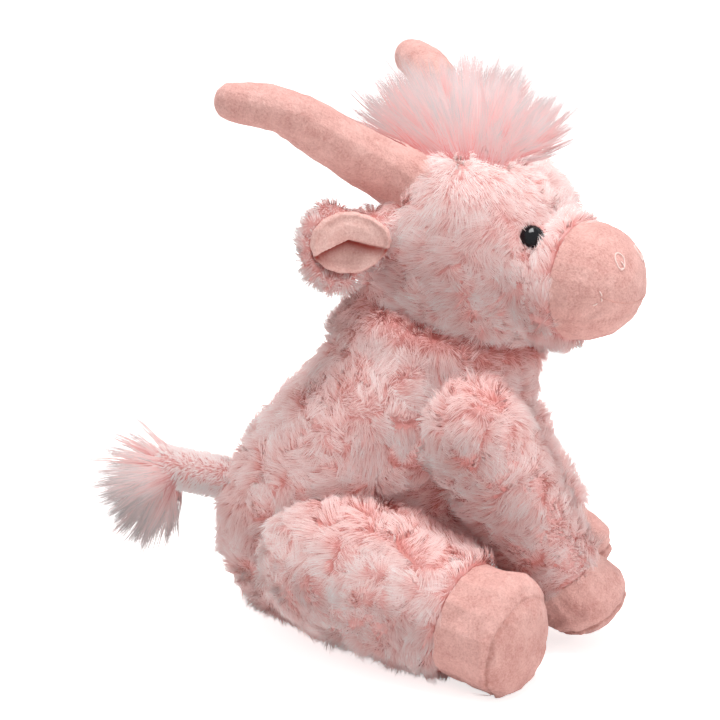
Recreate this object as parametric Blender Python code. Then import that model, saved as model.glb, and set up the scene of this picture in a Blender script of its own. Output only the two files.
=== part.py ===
"""A seated plush cow with a long-pile coat, stuffed horns and velour hooves.

Metres, +Z up. The cow faces +X and its left is +Y. The origin is the middle of
the flat on which the seat rests. The head is turned to the cow's right.
"""

from math import acos, asin, cos, pi, radians, sin, sqrt

import bmesh
import bpy
from mathutils import Matrix, Vector
from mathutils.bvhtree import BVHTree

# Cloth and clearances.
FABRIC = 0.0022  # plush backing with the foot of its pile
VELOUR = 0.0016
GAP = 0.0003
OVERRUN = 0.010  # how far a cutter passes what it cuts
SQUASH = 0.0005  # how far a foot or the seat is pressed flat

# Body: a pear that leans forward from the seat to the neck.
BODY_HEIGHT = 0.158
BODY_LEAN = 0.044
BODY_HALF_DEPTH = 0.0595
BODY_HALF_WIDTH = 0.046
SEAT_DOME = 0.032
NAPE_DOME = 0.014
BODY_RISE_SHARES = (0.0, 0.140, 0.285, 0.392, 0.494, 0.582, 0.734, 0.867, 1.0)
BODY_LEAN_SHARES = (0.0, 0.02, 0.01, 0.07, 0.284, 0.466, 0.75, 0.955, 1.0)
BODY_DEPTH_SHARES = (0.91, 0.89, 0.933, 0.992, 1.0, 0.983, 0.84, 0.723, 0.68)
BODY_WIDTH_SHARES = (0.91, 0.946, 1.0, 1.0, 1.0, 0.967, 0.913, 0.826, 0.783)
BEAN_BAG_HEIGHT = 0.021
COLLAR_HEIGHT = 0.137  # where the slanted shoulder line passes under the head
COLLAR_SLOPE = radians(15)

# Head: a ball drawn out into a snout, seated in a cup on the body.
HEAD_RADIUS = 0.044
HEAD_FORWARD = 0.060
HEAD_HEIGHT = 0.176
HEAD_TURN = radians(32)
NECK_RING = 0.002
NECK_RING_INNER = 0.008
NECK_RING_OUTER = 0.022
SNOUT_START = 0.030
SNOUT_BRIDGE = 0.037  # where the brow meets the snout
SNOUT_END = 0.050
SNOUT_DROP = 0.0073
MUZZLE_LENGTH = 0.0285
MUZZLE_HALF_WIDTH = 0.030
MUZZLE_HALF_HEIGHT = 0.0265
NOSTRIL_SIDE = 0.012
NOSTRIL_RISE = 0.013
NOSTRIL_RADIUS = 0.0022
THREAD = 0.0006
MOUTH_SIDE = 0.024
MOUTH_DROP = 0.0115
MOUTH_SAG = 0.005

# Eyes: a domed button on a shank, held by a washer behind the cloth.
EYE_RADIUS = 0.0056
EYE_DOME = 0.0042
EYE_FORWARD = 0.0365
EYE_SIDE = 0.0205
EYE_RISE = 0.0140
EYE_OUT = (0.72, 0.56, 0.30)  # the way the eye looks
SHANK_RADIUS = 0.0016
SHANK_LENGTH = 0.0095
WASHER_RADIUS = 0.0055
WASHER = 0.0012
WASHER_STANDOFF = 0.0018

# Horns.
HORN_ROOT = (-0.012, 0.010, 0.020)
HORN_BASE = (-0.033, 0.024, 0.0364)
HORN_BEND = (-0.0458, 0.042, 0.0492)
HORN_SWEEP = (-0.0618, 0.061, 0.0650)
HORN_TIP = (-0.088, 0.079, 0.0715)
HORN_BASE_RADIUS = 0.0175
HORN_TIP_RADIUS = 0.0078
HORN_TAPER_SHARES = (1.0, 0.66, 0.46, 0.32, 0.0)

# Ears: a furry leaf on a rounded root, with a velour lining in its scoop.
EAR_ROOT = (-0.028, 0.0384, 0.0108)
EAR_LEAN = (-0.66, 0.71, -0.25)
EAR_RUN_SHARES = (0.0, 0.40, 0.66, 1.0)
EAR_WIDTH_SHARES = (0.37, 0.53, 1.0, 1.0)
EAR_LENGTH = 0.038
EAR_HALF_WIDTH = 0.0195
EAR_HALF_THICKNESS = 0.0062
EAR_ROOT_RADIUS = 0.0072
EAR_TIP_DOME = 0.016
EAR_SCOOP_LENGTH = 0.0135
EAR_SCOOP_WIDTH = 0.0140
EAR_SCOOP_DEPTH = 0.0085

# Long-pile tufts.
FORELOCK_FORWARD = -0.006
FORELOCK_LENGTH = 0.046
FORELOCK_BASE_RADIUS = 0.024
FORELOCK_TIP_RADIUS = 0.040
FORELOCK_LOCKS = 14
TUFT_DROOP = radians(40)  # below the way the tail points
TUFT_LENGTH = 0.034
TUFT_TIP_RADIUS = 0.022
TUFT_LOCKS = 10
VALLEY_SHARE = 0.72
CROWN_SHARE = 0.45

# Front legs, held in shallow pockets on the shoulders.
SHOULDER = (0.056, 0.047, 0.106)
SHOULDER_TOE_IN = radians(18)
SHOULDER_SINK = 0.012
FRONT_LEAN = radians(-59.5)
FRONT_REACH = 0.096
FRONT_TOP_RADIUS = 0.0205
FRONT_MID_RADIUS = 0.0185
FRONT_ANKLE_RADIUS = 0.0178
FRONT_HOOF_RADIUS = 0.0205
FRONT_TOE_PUSH = 0.003
FRONT_HOOF_BACK = 0.015
FRONT_HOOF_FRONT = 0.010
FRONT_SOLE_DOME = 0.009
FRONT_BACK_SWING = radians(6)
FRONT_UP_SWING = radians(50)

# Hind legs, splayed forward along the floor.
HIP = (-0.006, 0.036, 0.042)
HIP_TOE_OUT = radians(15)
HIP_SINK = 0.012
HIND_SPLAY = radians(34)
HIND_REACH = 0.084
HIND_TOP_RADIUS = 0.031
HIND_MID_RADIUS = 0.029
HIND_ANKLE_RADIUS = 0.0245
HIND_HOOF_RADIUS = 0.0268
HIND_HOOF_BACK = 0.014
HIND_HOOF_FRONT = 0.014
HIND_SOLE_DOME = 0.007
HIND_BEAN_BACK = 0.010
HIND_UP_SWING = radians(20)
POCKET_REACH = 0.060

# Tail.
TAIL_HEIGHT = 0.068
TAIL_STANDOFF = 0.004
TAIL_RADIUS = 0.0082
TAIL_LENGTH = 0.031
TAIL_RISE = radians(12)

# Counts of facets.
LIMB_SIDES = 14
LIMB_STEPS = 6
DOME_STEPS = 3
BODY_SIDES = 24
BODY_STEPS = 9
HEAD_SIDES = 24
HEAD_ROWS = 7
MUZZLE_ROWS = 5
SEAT_ROWS = 22
SEAT_SIDES = 40
SMALL_SIDES = 14
EYE_SIDES = 16

MIRROR_SIDES = (("right", -1), ("left", 1))


def material(name, colour, roughness, metallic=0.0):
    made = bpy.data.materials.new(name)
    made.use_nodes = True
    shader = made.node_tree.nodes["Principled BSDF"]
    shader.inputs["Base Color"].default_value = (*colour, 1.0)
    shader.inputs["Roughness"].default_value = roughness
    shader.inputs["Metallic"].default_value = metallic
    made.diffuse_color = (*colour, 1.0)
    return made


def empty(name, location, parent=None, turn=0.0):
    made = bpy.data.objects.new(name, None)
    bpy.context.collection.objects.link(made)
    made.location = location
    made.rotation_euler = (0, 0, turn)
    made.parent = parent
    return made


def piece(name, bm, looks=None, parent=None):
    """An object from a bmesh; without looks it is a cutter."""
    bmesh.ops.recalc_face_normals(bm, faces=bm.faces)
    mesh = bpy.data.meshes.new(name)
    bm.to_mesh(mesh)
    bm.free()
    mesh.shade_smooth()
    mesh.set_sharp_from_angle(angle=radians(50))
    made = bpy.data.objects.new(name, mesh)
    bpy.context.collection.objects.link(made)
    made.parent = parent
    if looks is None:
        made.hide_render = True
        made.display_type = "WIRE"
    else:
        mesh.materials.append(looks)
    return made


def boolean(target, other, operation="DIFFERENCE"):
    modifier = target.modifiers.new(other.name, "BOOLEAN")
    modifier.operation = operation
    modifier.object = other
    modifier.solver = "EXACT"


def skin(rings):
    """A closed bmesh over rings of points, where a ring of one point is a pole."""
    bm = bmesh.new()
    loops = [[bm.verts.new(point) for point in ring] for ring in rings]
    for low, high in zip(loops, loops[1:]):
        count = max(len(low), len(high))
        for i in range(count):
            j = (i + 1) % count
            if len(low) == 1:
                bm.faces.new((low[0], high[i], high[j]))
            elif len(high) == 1:
                bm.faces.new((low[i], low[j], high[0]))
            else:
                bm.faces.new((low[i], low[j], high[j]))
                bm.faces.new((low[i], high[j], high[i]))
    for loop in (loops[0], loops[-1]):
        if len(loop) > 2:
            bm.faces.new(loop)
    bmesh.ops.recalc_face_normals(bm, faces=bm.faces)
    return bm


def trim(bm, point, outward):
    """Cuts a closed bmesh off beyond a plane and closes the cut."""
    geometry = bm.verts[:] + bm.edges[:] + bm.faces[:]
    bmesh.ops.bisect_plane(
        bm, geom=geometry, plane_co=point, plane_no=outward, clear_outer=True
    )
    rim = [edge for edge in bm.edges if edge.is_boundary]
    bmesh.ops.holes_fill(bm, edges=rim, sides=0)
    return bm


def smooth(values, place):
    """Catmull-Rom value at a place counted in stations."""
    last = len(values) - 1
    i = min(int(place), last - 1)
    t = place - i
    a, b = values[max(i - 1, 0)], values[i]
    c, d = values[i + 1], values[min(i + 2, last)]
    return (
        b
        + (c - a) * (t / 2)
        + (a * 2 - b * 5 + c * 4 - d) * (t * t / 2)
        + (b * 3 - a - c * 3 + d) * (t**3 / 2)
    )


def limb(form, swell, steps=LIMB_STEPS, sides=LIMB_SIDES):
    """A swelling, tapering form along a path, grown outward by swell.

    The form holds a path, its radii across and along the other way, the
    direction taken as across, and how much of each end is domed. Its rings
    lie square to the path, or to the direction named level.
    """
    path, wide, thick = form["path"], form["wide"], form["thick"]
    last = len(path) - 1
    fine = 20 * last
    places = [last * i / fine for i in range(fine + 1)]
    points = [smooth(path, place) for place in places]
    runs = [0.0]
    for low, high in zip(points, points[1:]):
        runs.append(runs[-1] + (high - low).length)
    whole = runs[-1]

    def station(run):
        held = min(max(run, 0.0), whole)
        i = max(k for k in range(fine) if runs[k] <= held or k == 0)
        share = (held - runs[i]) / (runs[i + 1] - runs[i])
        place = places[i] + (places[i + 1] - places[i]) * share
        before = points[max(i - 1, 0)]
        after = points[min(i + 2, fine)]
        along = form.get("level") or (after - before).normalized()
        centre = points[i].lerp(points[i + 1], share) + along * (run - held)
        return centre, along, smooth(wide, place), smooth(thick, place)

    def ring(run, shrink):
        centre, along, width, depth = station(run)
        across = (form["across"] - along * form["across"].dot(along)).normalized()
        other = along.cross(across)
        if shrink == 0.0:
            return [centre]
        return [
            centre
            + across * (cos(2 * pi * i / sides) * (width + swell) * shrink)
            + other * (sin(2 * pi * i / sides) * (depth + swell) * shrink)
            for i in range(sides)
        ]

    start = form["start_dome"] + swell
    end = form["end_dome"] + swell
    rings = []
    for i in range(DOME_STEPS):
        angle = pi / 2 * i / DOME_STEPS
        rings.append(ring(-swell + start * (1 - cos(angle)), sin(angle)))
    low, high = start - swell, whole + swell - end
    for i in range(steps + 1):
        rings.append(ring(low + (high - low) * i / steps, 1.0))
    for i in range(DOME_STEPS - 1, -1, -1):
        angle = pi / 2 * i / DOME_STEPS
        rings.append(ring(whole + swell - end * (1 - cos(angle)), sin(angle)))
    return skin(rings)


def turned(profile, axis, centre, sides=BODY_SIDES):
    """A closed ring turned about an axis from a closed profile of (radius, rise)."""
    bm = bmesh.new()
    turn = axis.to_track_quat("Z", "Y").to_matrix().to_4x4()
    place = Matrix.Translation(centre) @ turn
    loops = []
    for i in range(sides):
        angle = 2 * pi * i / sides
        loops.append(
            [
                bm.verts.new(place @ Vector((r * cos(angle), r * sin(angle), z)))
                for r, z in profile
            ]
        )
    count = len(profile)
    for i in range(sides):
        low, high = loops[i], loops[(i + 1) % sides]
        for k in range(count):
            m = (k + 1) % count
            bm.faces.new((low[k], low[m], high[m], high[k]))
    return bm


def ball(centre, radii, rows=8, sides=LIMB_SIDES):
    """An ellipsoid; radii are a length, or three vectors for its half axes."""
    if not isinstance(radii, tuple):
        radii = (Vector((radii, 0, 0)), Vector((0, radii, 0)), Vector((0, 0, radii)))
    bm = bmesh.new()
    bmesh.ops.create_uvsphere(bm, u_segments=sides, v_segments=rows, radius=1)
    for vert in bm.verts:
        x, y, z = vert.co
        vert.co = centre + radii[0] * x + radii[1] * y + radii[2] * z
    bmesh.ops.recalc_face_normals(bm, faces=bm.faces)
    return bm


def rod(start, end, radius, sides=SMALL_SIDES):
    along = (end - start).normalized()
    across = along.orthogonal().normalized()
    other = along.cross(across)
    rings = []
    for centre in (start, end):
        rings.append(
            [
                centre
                + across * (cos(2 * pi * i / sides) * radius)
                + other * (sin(2 * pi * i / sides) * radius)
                for i in range(sides)
            ]
        )
    return skin(rings)


def pocket(centre, out, low, high, radius, reach, sink, depth):
    """A cutter for a limb that swings from low to high about the axis out.

    Its floor is flat and lies sink inside the centre. The angles are counted
    up from straight ahead, in the plane of that floor.
    """
    ahead = Vector((0, 0, 1)).cross(out).normalized()
    if ahead.x < 0:
        ahead = -ahead
    up = Vector((0, 0, 1))

    def aim(angle):
        return ahead * cos(angle) + up * sin(angle)

    corners = 12
    outline = []
    for i in range(corners + 1):
        angle = high + pi / 2 + (pi + low - high) * i / corners
        outline.append(aim(angle) * radius)
    outline.append(aim(low) * reach + aim(low - pi / 2) * radius)
    for i in range(corners + 1):
        angle = low + (high - low) * i / corners
        outline.append(aim(angle) * (reach + radius))
    outline.append(aim(high) * reach + aim(high + pi / 2) * radius)
    floor = centre - out * sink
    return skin([[floor + p for p in outline], [floor + out * depth + p for p in outline]])


def tuft(base, axis, length, low_radius, high_radius, locks, sink):
    """A fan of tapered locks: ridges that flare into points round a hollow crown."""
    across = axis.orthogonal().normalized()
    other = axis.cross(across)
    sides = 2 * locks

    def ring(rise, ridge, valley, valley_rise):
        points = []
        for i in range(sides):
            angle = 2 * pi * i / sides
            out = across * cos(angle) + other * sin(angle)
            if i % 2:
                points.append(base + axis * valley_rise + out * valley)
            else:
                points.append(base + axis * rise + out * ridge)
        return points

    rings = [[base - axis * sink]]
    rings.append(ring(-sink, low_radius, low_radius, -sink))
    steps = 4
    for i in range(1, steps + 1):
        share = i / steps
        radius = low_radius + (high_radius - low_radius) * sqrt(share)
        dent = 1 - (1 - VALLEY_SHARE) * share
        rise = length * CROWN_SHARE * share
        rings.append(ring(rise, radius, radius * dent, rise))
    tip = length * (1 - (1 - CROWN_SHARE) / 2)
    rings.append(ring(tip, high_radius, high_radius * VALLEY_SHARE, length * CROWN_SHARE))
    inner = high_radius * CROWN_SHARE
    rings.append(ring(length, inner, inner * VALLEY_SHARE, tip))
    rings.append([base + axis * tip])
    return skin(rings)


def head_rings(swell, sides=HEAD_SIDES):
    """Rings of the head from its back pole to the tip of the muzzle."""
    radius = HEAD_RADIUS + swell

    def ring(forward, width, height, drop):
        return [
            Vector(
                (
                    forward,
                    width * cos(2 * pi * i / sides),
                    height * sin(2 * pi * i / sides) - drop,
                )
            )
            for i in range(sides)
        ]

    rings = [[Vector((-radius, 0, 0))]]
    last = acos(SNOUT_START / HEAD_RADIUS)
    for i in range(1, HEAD_ROWS + 1):
        angle = pi - (pi - last) * i / HEAD_ROWS
        rings.append(
            ring(radius * cos(angle), radius * sin(angle), radius * sin(angle), 0.0)
        )
    rings.append(
        ring(
            SNOUT_BRIDGE + swell,
            MUZZLE_HALF_WIDTH + swell,
            MUZZLE_HALF_HEIGHT + swell,
            SNOUT_DROP,
        )
    )
    for i in range(MUZZLE_ROWS):
        angle = pi / 2 * i / MUZZLE_ROWS
        rings.append(
            ring(
                SNOUT_END + (MUZZLE_LENGTH + swell) * sin(angle),
                (MUZZLE_HALF_WIDTH + swell) * cos(angle),
                (MUZZLE_HALF_HEIGHT + swell) * cos(angle),
                SNOUT_DROP,
            )
        )
    rings.append([Vector((SNOUT_END + MUZZLE_LENGTH + swell, 0, -SNOUT_DROP))])
    return rings


def muzzle_point(side, rise, lift):
    """The point on the muzzle's dome at this side and rise, moved out by lift."""
    width = MUZZLE_HALF_WIDTH + lift
    height = MUZZLE_HALF_HEIGHT + lift
    length = MUZZLE_LENGTH + lift
    share = max(0.0, 1 - (side / width) ** 2 - (rise / height) ** 2)
    return Vector((SNOUT_END + length * sqrt(share), side, rise - SNOUT_DROP))


def seat_plane(tree, aim, out, radius):
    """The middle and the direction of the plane on which a small disc seats."""
    across = out.orthogonal().normalized()
    other = out.cross(across)
    ways = (across, other, -across, -other)
    rims = [tree.ray_cast(aim + way * radius + out * HEAD_RADIUS, -out)[0] for way in ways]
    middle = (rims[0] + rims[1] + rims[2] + rims[3]) / len(rims)
    normal = (rims[0] - rims[2]).cross(rims[1] - rims[3]).normalized()
    return middle, normal if normal.dot(out) > 0 else -normal


def thread_run(name, points, radius, looks, parent, closed=False):
    curve = bpy.data.curves.new(name, "CURVE")
    curve.dimensions = "3D"
    curve.bevel_depth = radius
    curve.bevel_resolution = 1
    curve.use_fill_caps = not closed
    spline = curve.splines.new("POLY")
    spline.points.add(len(points) - 1)
    for slot, point in zip(spline.points, points):
        slot.co = (*point, 1)
    spline.use_cyclic_u = closed
    made = bpy.data.objects.new(name, curve)
    bpy.context.collection.objects.link(made)
    made.parent = parent
    curve.materials.append(looks)
    return made


def body_form():
    count = len(BODY_RISE_SHARES)
    return {
        "path": [
            Vector(
                (
                    BODY_LEAN * BODY_LEAN_SHARES[i],
                    0,
                    (BODY_HEIGHT + SQUASH) * BODY_RISE_SHARES[i] - SQUASH,
                )
            )
            for i in range(count)
        ],
        "wide": [BODY_HALF_WIDTH * share for share in BODY_WIDTH_SHARES],
        "thick": [BODY_HALF_DEPTH * share for share in BODY_DEPTH_SHARES],
        "across": Vector((0, 1, 0)),
        "level": Vector((0, 0, 1)),
        "start_dome": SEAT_DOME,
        "end_dome": NAPE_DOME,
    }


def mirrored(point, side):
    return Vector((point[0], point[1] * side, point[2]))


for old in list(bpy.data.objects):
    bpy.data.objects.remove(old, do_unlink=True)

furLooks = material("pink plush", (0.84, 0.55, 0.53), 0.95)
velourLooks = material("pink velour", (0.77, 0.46, 0.42), 0.85)
tuftLooks = material("long pale pile", (0.86, 0.66, 0.66), 0.9)
fillLooks = material("polyester filling", (0.88, 0.88, 0.86), 1.0)
bagLooks = material("bean bag cloth", (0.80, 0.78, 0.74), 0.9)
eyeLooks = material("black eye", (0.01, 0.01, 0.012), 0.08)
threadLooks = material("pale thread", (0.88, 0.70, 0.68), 0.6)

headCentre = Vector((HEAD_FORWARD, 0, HEAD_HEIGHT))
upAxis = Vector((0, 0, 1))

neckAxis = empty("neck_turn_axis", headCentre)
headAxis = empty("head_nod_axis", (0, 0, 0), neckAxis, -HEAD_TURN)

# The head's seat: a cup in the body, a ring of gathered cloth and the ball.
# Each is widened by what its own facets take from it, so that the ball turns.
ringArc = 2
ringLow = asin(NECK_RING_INNER / HEAD_RADIUS)
ringHigh = asin(NECK_RING_OUTER / HEAD_RADIUS)
ringStep = (ringHigh - ringLow) / ringArc
ringInside = (HEAD_RADIUS + GAP) / cos(pi / SEAT_SIDES) / cos(ringStep / 2)
ringOutside = ringInside + NECK_RING
seatRadius = (ringOutside + GAP) / cos(pi / SEAT_SIDES) / cos(pi / SEAT_ROWS / 2)
headSeat = piece("head_seat_cut", ball(headCentre, seatRadius, SEAT_ROWS, SEAT_SIDES))
collarPoint = Vector((HEAD_FORWARD, 0, COLLAR_HEIGHT))
collarOut = Vector((sin(COLLAR_SLOPE), 0, cos(COLLAR_SLOPE)))

ringAngles = [ringLow + ringStep * i for i in range(ringArc + 1)]
ringProfile = [(ringOutside * sin(a), -ringOutside * cos(a)) for a in ringAngles]
ringProfile += [
    (ringInside * sin(a), -ringInside * cos(a)) for a in reversed(ringAngles)
]
piece(
    "neck_ring",
    turned(ringProfile, upAxis, Vector((0, 0, 0)), SEAT_SIDES),
    bagLooks,
    neckAxis,
)

# Limb pockets, each lined with the body's cloth, and the tail's dimple.
coverCutters = [headSeat]
hollowCutters = []
fillCutters = [headSeat]
clothSides = (
    ("pocket", 0.0, coverCutters),
    ("lining", FABRIC, hollowCutters),
    ("bed", FABRIC + GAP, fillCutters),
)
limbFrames = {}
for word, side in MIRROR_SIDES:
    shoulder = mirrored(SHOULDER, side)
    shoulderOut = Vector((sin(SHOULDER_TOE_IN), side * cos(SHOULDER_TOE_IN), 0))
    for kind, cloth, cutters in clothSides:
        cutters.append(
            piece(
                f"shoulder_{kind}_{word}",
                pocket(
                    shoulder,
                    shoulderOut,
                    FRONT_LEAN - FRONT_BACK_SWING,
                    FRONT_LEAN + FRONT_UP_SWING,
                    FRONT_TOP_RADIUS + 2 * GAP + cloth,
                    POCKET_REACH,
                    SHOULDER_SINK + cloth,
                    BODY_HALF_WIDTH,
                ),
            )
        )
    hip = mirrored(HIP, side)
    hipOut = Vector((-sin(HIP_TOE_OUT), side * cos(HIP_TOE_OUT), 0))
    fall = asin((HIP[2] - HIND_HOOF_RADIUS) / HIND_REACH)
    for kind, cloth, cutters in clothSides:
        cutters.append(
            piece(
                f"hip_{kind}_{word}",
                pocket(
                    hip,
                    hipOut,
                    -fall,
                    HIND_UP_SWING - fall / 2,
                    HIND_TOP_RADIUS + 2 * GAP + cloth,
                    POCKET_REACH,
                    HIP_SINK + cloth,
                    BODY_HALF_WIDTH,
                ),
            )
        )
    limbFrames[word] = (shoulder, shoulderOut, hip, hipOut)

# Body: cover, filling and the bean bag that weighs the seat down.
bodyForm = body_form()


def body_solid(swell):
    return limb(bodyForm, swell, BODY_STEPS, BODY_SIDES)


probe = body_solid(0.0)
rump = BVHTree.FromBMesh(probe).ray_cast(
    Vector((-BODY_HEIGHT, 0, TAIL_HEIGHT)), Vector((1, 0, 0))
)[0]
probe.free()
tailRoot = rump - Vector((TAIL_STANDOFF, 0, 0))
tailCut = piece("tail_dimple_cut", ball(tailRoot, TAIL_RADIUS + 2 * GAP))
coverCutters.append(tailCut)
fillCutters.append(tailCut)

bodyOuter = trim(body_solid(0.0), Vector((0, 0, 0)), -upAxis)
trim(bodyOuter, collarPoint, collarOut)
cover = piece("body_cover", bodyOuter, furLooks)
bodyHollow = piece("body_hollow_cut", body_solid(-FABRIC))
for cutter in hollowCutters:
    boolean(bodyHollow, cutter)
boolean(cover, bodyHollow)

bagTop = Vector((0, 0, BEAN_BAG_HEIGHT))
filling = trim(body_solid(-FABRIC - GAP), bagTop, -upAxis)
trim(filling, collarPoint - collarOut * GAP, collarOut)
filling = piece("body_stuffing", filling, fillLooks)
bag = trim(body_solid(-FABRIC - GAP), bagTop - upAxis * GAP, upAxis)
bag = piece("seat_bean_bag", bag, bagLooks)
for cutter in coverCutters:
    boolean(cover, cutter)
for cutter in fillCutters:
    boolean(filling, cutter)
    if cutter.name.startswith("hip"):
        boolean(bag, cutter)

# Head: cover, muzzle and filling share one form.
snoutPlane = Vector((SNOUT_END, 0, 0))
aheadAxis = Vector((1, 0, 0))
headCover = piece(
    "head_cover",
    trim(skin(head_rings(0.0)), snoutPlane - aheadAxis * GAP / 2, aheadAxis),
    furLooks,
    headAxis,
)
boolean(headCover, piece("head_hollow_cut", skin(head_rings(-FABRIC)), None, headAxis))
muzzle = piece(
    "muzzle_cover",
    trim(skin(head_rings(0.0)), snoutPlane + aheadAxis * GAP / 2, -aheadAxis),
    velourLooks,
    headAxis,
)
boolean(muzzle, piece("muzzle_hollow_cut", skin(head_rings(-FABRIC)), None, headAxis))
headFill = piece(
    "head_stuffing", skin(head_rings(-FABRIC - GAP)), fillLooks, headAxis
)
headOutside = piece("head_outside_cut", skin(head_rings(GAP)), None, headAxis)

# Stitched nostrils and mouth.
stitchLift = THREAD + GAP
for word, side in MIRROR_SIDES:
    loop = []
    loopPoints = 12
    for i in range(loopPoints):
        angle = 2 * pi * i / loopPoints
        loop.append(
            muzzle_point(
                side * NOSTRIL_SIDE + NOSTRIL_RADIUS * cos(angle),
                NOSTRIL_RISE + NOSTRIL_RADIUS * sin(angle),
                stitchLift,
            )
        )
    thread_run(f"nostril_{word}", loop, THREAD, threadLooks, headAxis, True)
mouthPoints = []
mouthSteps = 16
for i in range(mouthSteps + 1):
    share = 2 * i / mouthSteps - 1
    mouthPoints.append(
        muzzle_point(
            MOUTH_SIDE * share, -MOUTH_DROP - MOUTH_SAG * (1 - share * share), stitchLift
        )
    )
thread_run("mouth_stitch", mouthPoints, THREAD, threadLooks, headAxis)

# Eyes.
headShape = skin(head_rings(0.0))
headTree = BVHTree.FromBMesh(headShape)
headShape.free()
for word, side in MIRROR_SIDES:
    out = mirrored(EYE_OUT, side).normalized()
    aim = Vector((EYE_FORWARD, side * EYE_SIDE, EYE_RISE))
    face, out = seat_plane(headTree, aim, out, EYE_RADIUS)
    face += out * GAP
    arc = 4
    angles = [pi / 2 * i / arc for i in range(arc + 1)]
    profile = [(EYE_RADIUS * cos(a), EYE_DOME * sin(a)) for a in angles]
    place = out.to_track_quat("Z", "Y").to_matrix().to_4x4()
    rings = []
    sides = EYE_SIDES
    shank = [(SHANK_RADIUS, -SHANK_LENGTH), (SHANK_RADIUS, 0.0)]
    for radius, rise in shank + profile:
        if radius < GAP:
            rings.append([face + out * rise])
            continue
        rings.append(
            [
                face
                + place
                @ Vector(
                    (radius * cos(2 * pi * i / sides), radius * sin(2 * pi * i / sides), rise)
                )
                for i in range(sides)
            ]
        )
    piece(f"eye_{word}", skin(rings), eyeLooks, headAxis)
    bed = piece(
        f"eye_bed_{word}",
        rod(face - out * GAP, face + out * OVERRUN, EYE_RADIUS + GAP),
        None,
        headAxis,
    )
    boolean(headCover, bed)
    hole = piece(
        f"eye_hole_{word}",
        rod(face + out * OVERRUN, face - out * (SHANK_LENGTH + GAP), SHANK_RADIUS + GAP),
        None,
        headAxis,
    )
    boolean(headCover, hole)
    boolean(headFill, hole)
    behind = FABRIC + WASHER_STANDOFF
    washerProfile = [
        (SHANK_RADIUS + GAP, -behind - WASHER),
        (WASHER_RADIUS, -behind - WASHER),
        (WASHER_RADIUS, -behind),
        (SHANK_RADIUS + GAP, -behind),
    ]
    washer = piece(
        f"eye_washer_{word}",
        turned(washerProfile, out, face, sides),
        eyeLooks,
        headAxis,
    )
    room = piece(
        f"eye_washer_room_{word}",
        rod(
            face,
            face - out * (behind + WASHER + GAP),
            WASHER_RADIUS + GAP,
        ),
        None,
        headAxis,
    )
    boolean(headFill, room)
    rebate = piece(
        f"eye_washer_rebate_{word}",
        rod(
            face - out * (behind - GAP),
            face - out * (behind + WASHER + GAP),
            WASHER_RADIUS + GAP,
        ),
        None,
        headAxis,
    )
    boolean(headCover, rebate)

# Forelock.
forelockOut = Vector((FORELOCK_FORWARD, 0, HEAD_RADIUS)).normalized()
forelock = piece(
    "forelock",
    tuft(
        forelockOut * HEAD_RADIUS,
        forelockOut,
        FORELOCK_LENGTH,
        FORELOCK_BASE_RADIUS,
        FORELOCK_TIP_RADIUS,
        FORELOCK_LOCKS,
        OVERRUN,
    ),
    tuftLooks,
    headAxis,
)
boolean(forelock, headOutside)

# Horns: a velour skin and its filling, sewn down on the head.
for word, side in MIRROR_SIDES:
    stations = (HORN_ROOT, HORN_BASE, HORN_BEND, HORN_SWEEP, HORN_TIP)
    radii = [
        HORN_TIP_RADIUS + (HORN_BASE_RADIUS - HORN_TIP_RADIUS) * share
        for share in HORN_TAPER_SHARES
    ]
    hornForm = {
        "path": [mirrored(point, side) for point in stations],
        "wide": radii,
        "thick": radii,
        "across": upAxis,
        "start_dome": HORN_BASE_RADIUS,
        "end_dome": HORN_TIP_RADIUS,
    }
    horn = piece(f"horn_{word}", limb(hornForm, 0.0), velourLooks, headAxis)
    boolean(horn, headOutside)
    hollow = piece(f"horn_hollow_{word}", limb(hornForm, -VELOUR), None, headAxis)
    boolean(horn, hollow)
    fill = piece(
        f"horn_stuffing_{word}", limb(hornForm, -VELOUR - GAP), fillLooks, headAxis
    )
    boolean(fill, headOutside)
    boolean(forelock, piece(f"horn_room_{word}", limb(hornForm, GAP), None, headAxis))

# Ears.
for word, side in MIRROR_SIDES:
    root = mirrored(EAR_ROOT, side)
    lean = mirrored(EAR_LEAN, side).normalized()
    earAxis = empty(f"ear_axis_{word}", root, headAxis)
    start = -lean * EAR_ROOT_RADIUS
    whole = EAR_LENGTH + EAR_ROOT_RADIUS
    earForm = {
        "path": [start + lean * whole * share for share in EAR_RUN_SHARES],
        "wide": [EAR_HALF_WIDTH * share for share in EAR_WIDTH_SHARES],
        "thick": [EAR_ROOT_RADIUS] + [EAR_HALF_THICKNESS] * 3,
        "across": upAxis,
        "start_dome": EAR_ROOT_RADIUS,
        "end_dome": EAR_TIP_DOME,
    }
    facing = lean.cross(upAxis).normalized()
    if facing.x < 0:
        facing = -facing
    high = facing.cross(lean).normalized()
    middle = lean * (EAR_LENGTH * 0.56) + facing * EAR_HALF_THICKNESS

    def scoop(shrink):
        return ball(
            middle,
            (
                lean * (EAR_SCOOP_LENGTH - shrink),
                high * (EAR_SCOOP_WIDTH - shrink),
                facing * (EAR_SCOOP_DEPTH - shrink),
            ),
        )

    ear = piece(f"ear_{word}", limb(earForm, 0.0), furLooks, earAxis)
    boolean(ear, piece(f"ear_scoop_{word}", scoop(0.0), None, earAxis))
    lining = piece(f"ear_lining_{word}", scoop(GAP), velourLooks, earAxis)
    boolean(lining, piece(f"ear_leaf_{word}", limb(earForm, 0.0), None, earAxis), "INTERSECT")
    boolean(lining, piece(f"ear_bowl_{word}", scoop(GAP + VELOUR), None, earAxis))
    dimple = piece(f"ear_dimple_{word}", ball(root, EAR_ROOT_RADIUS + 2 * GAP), None, headAxis)
    boolean(headCover, dimple)
    boolean(headFill, dimple)

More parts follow.
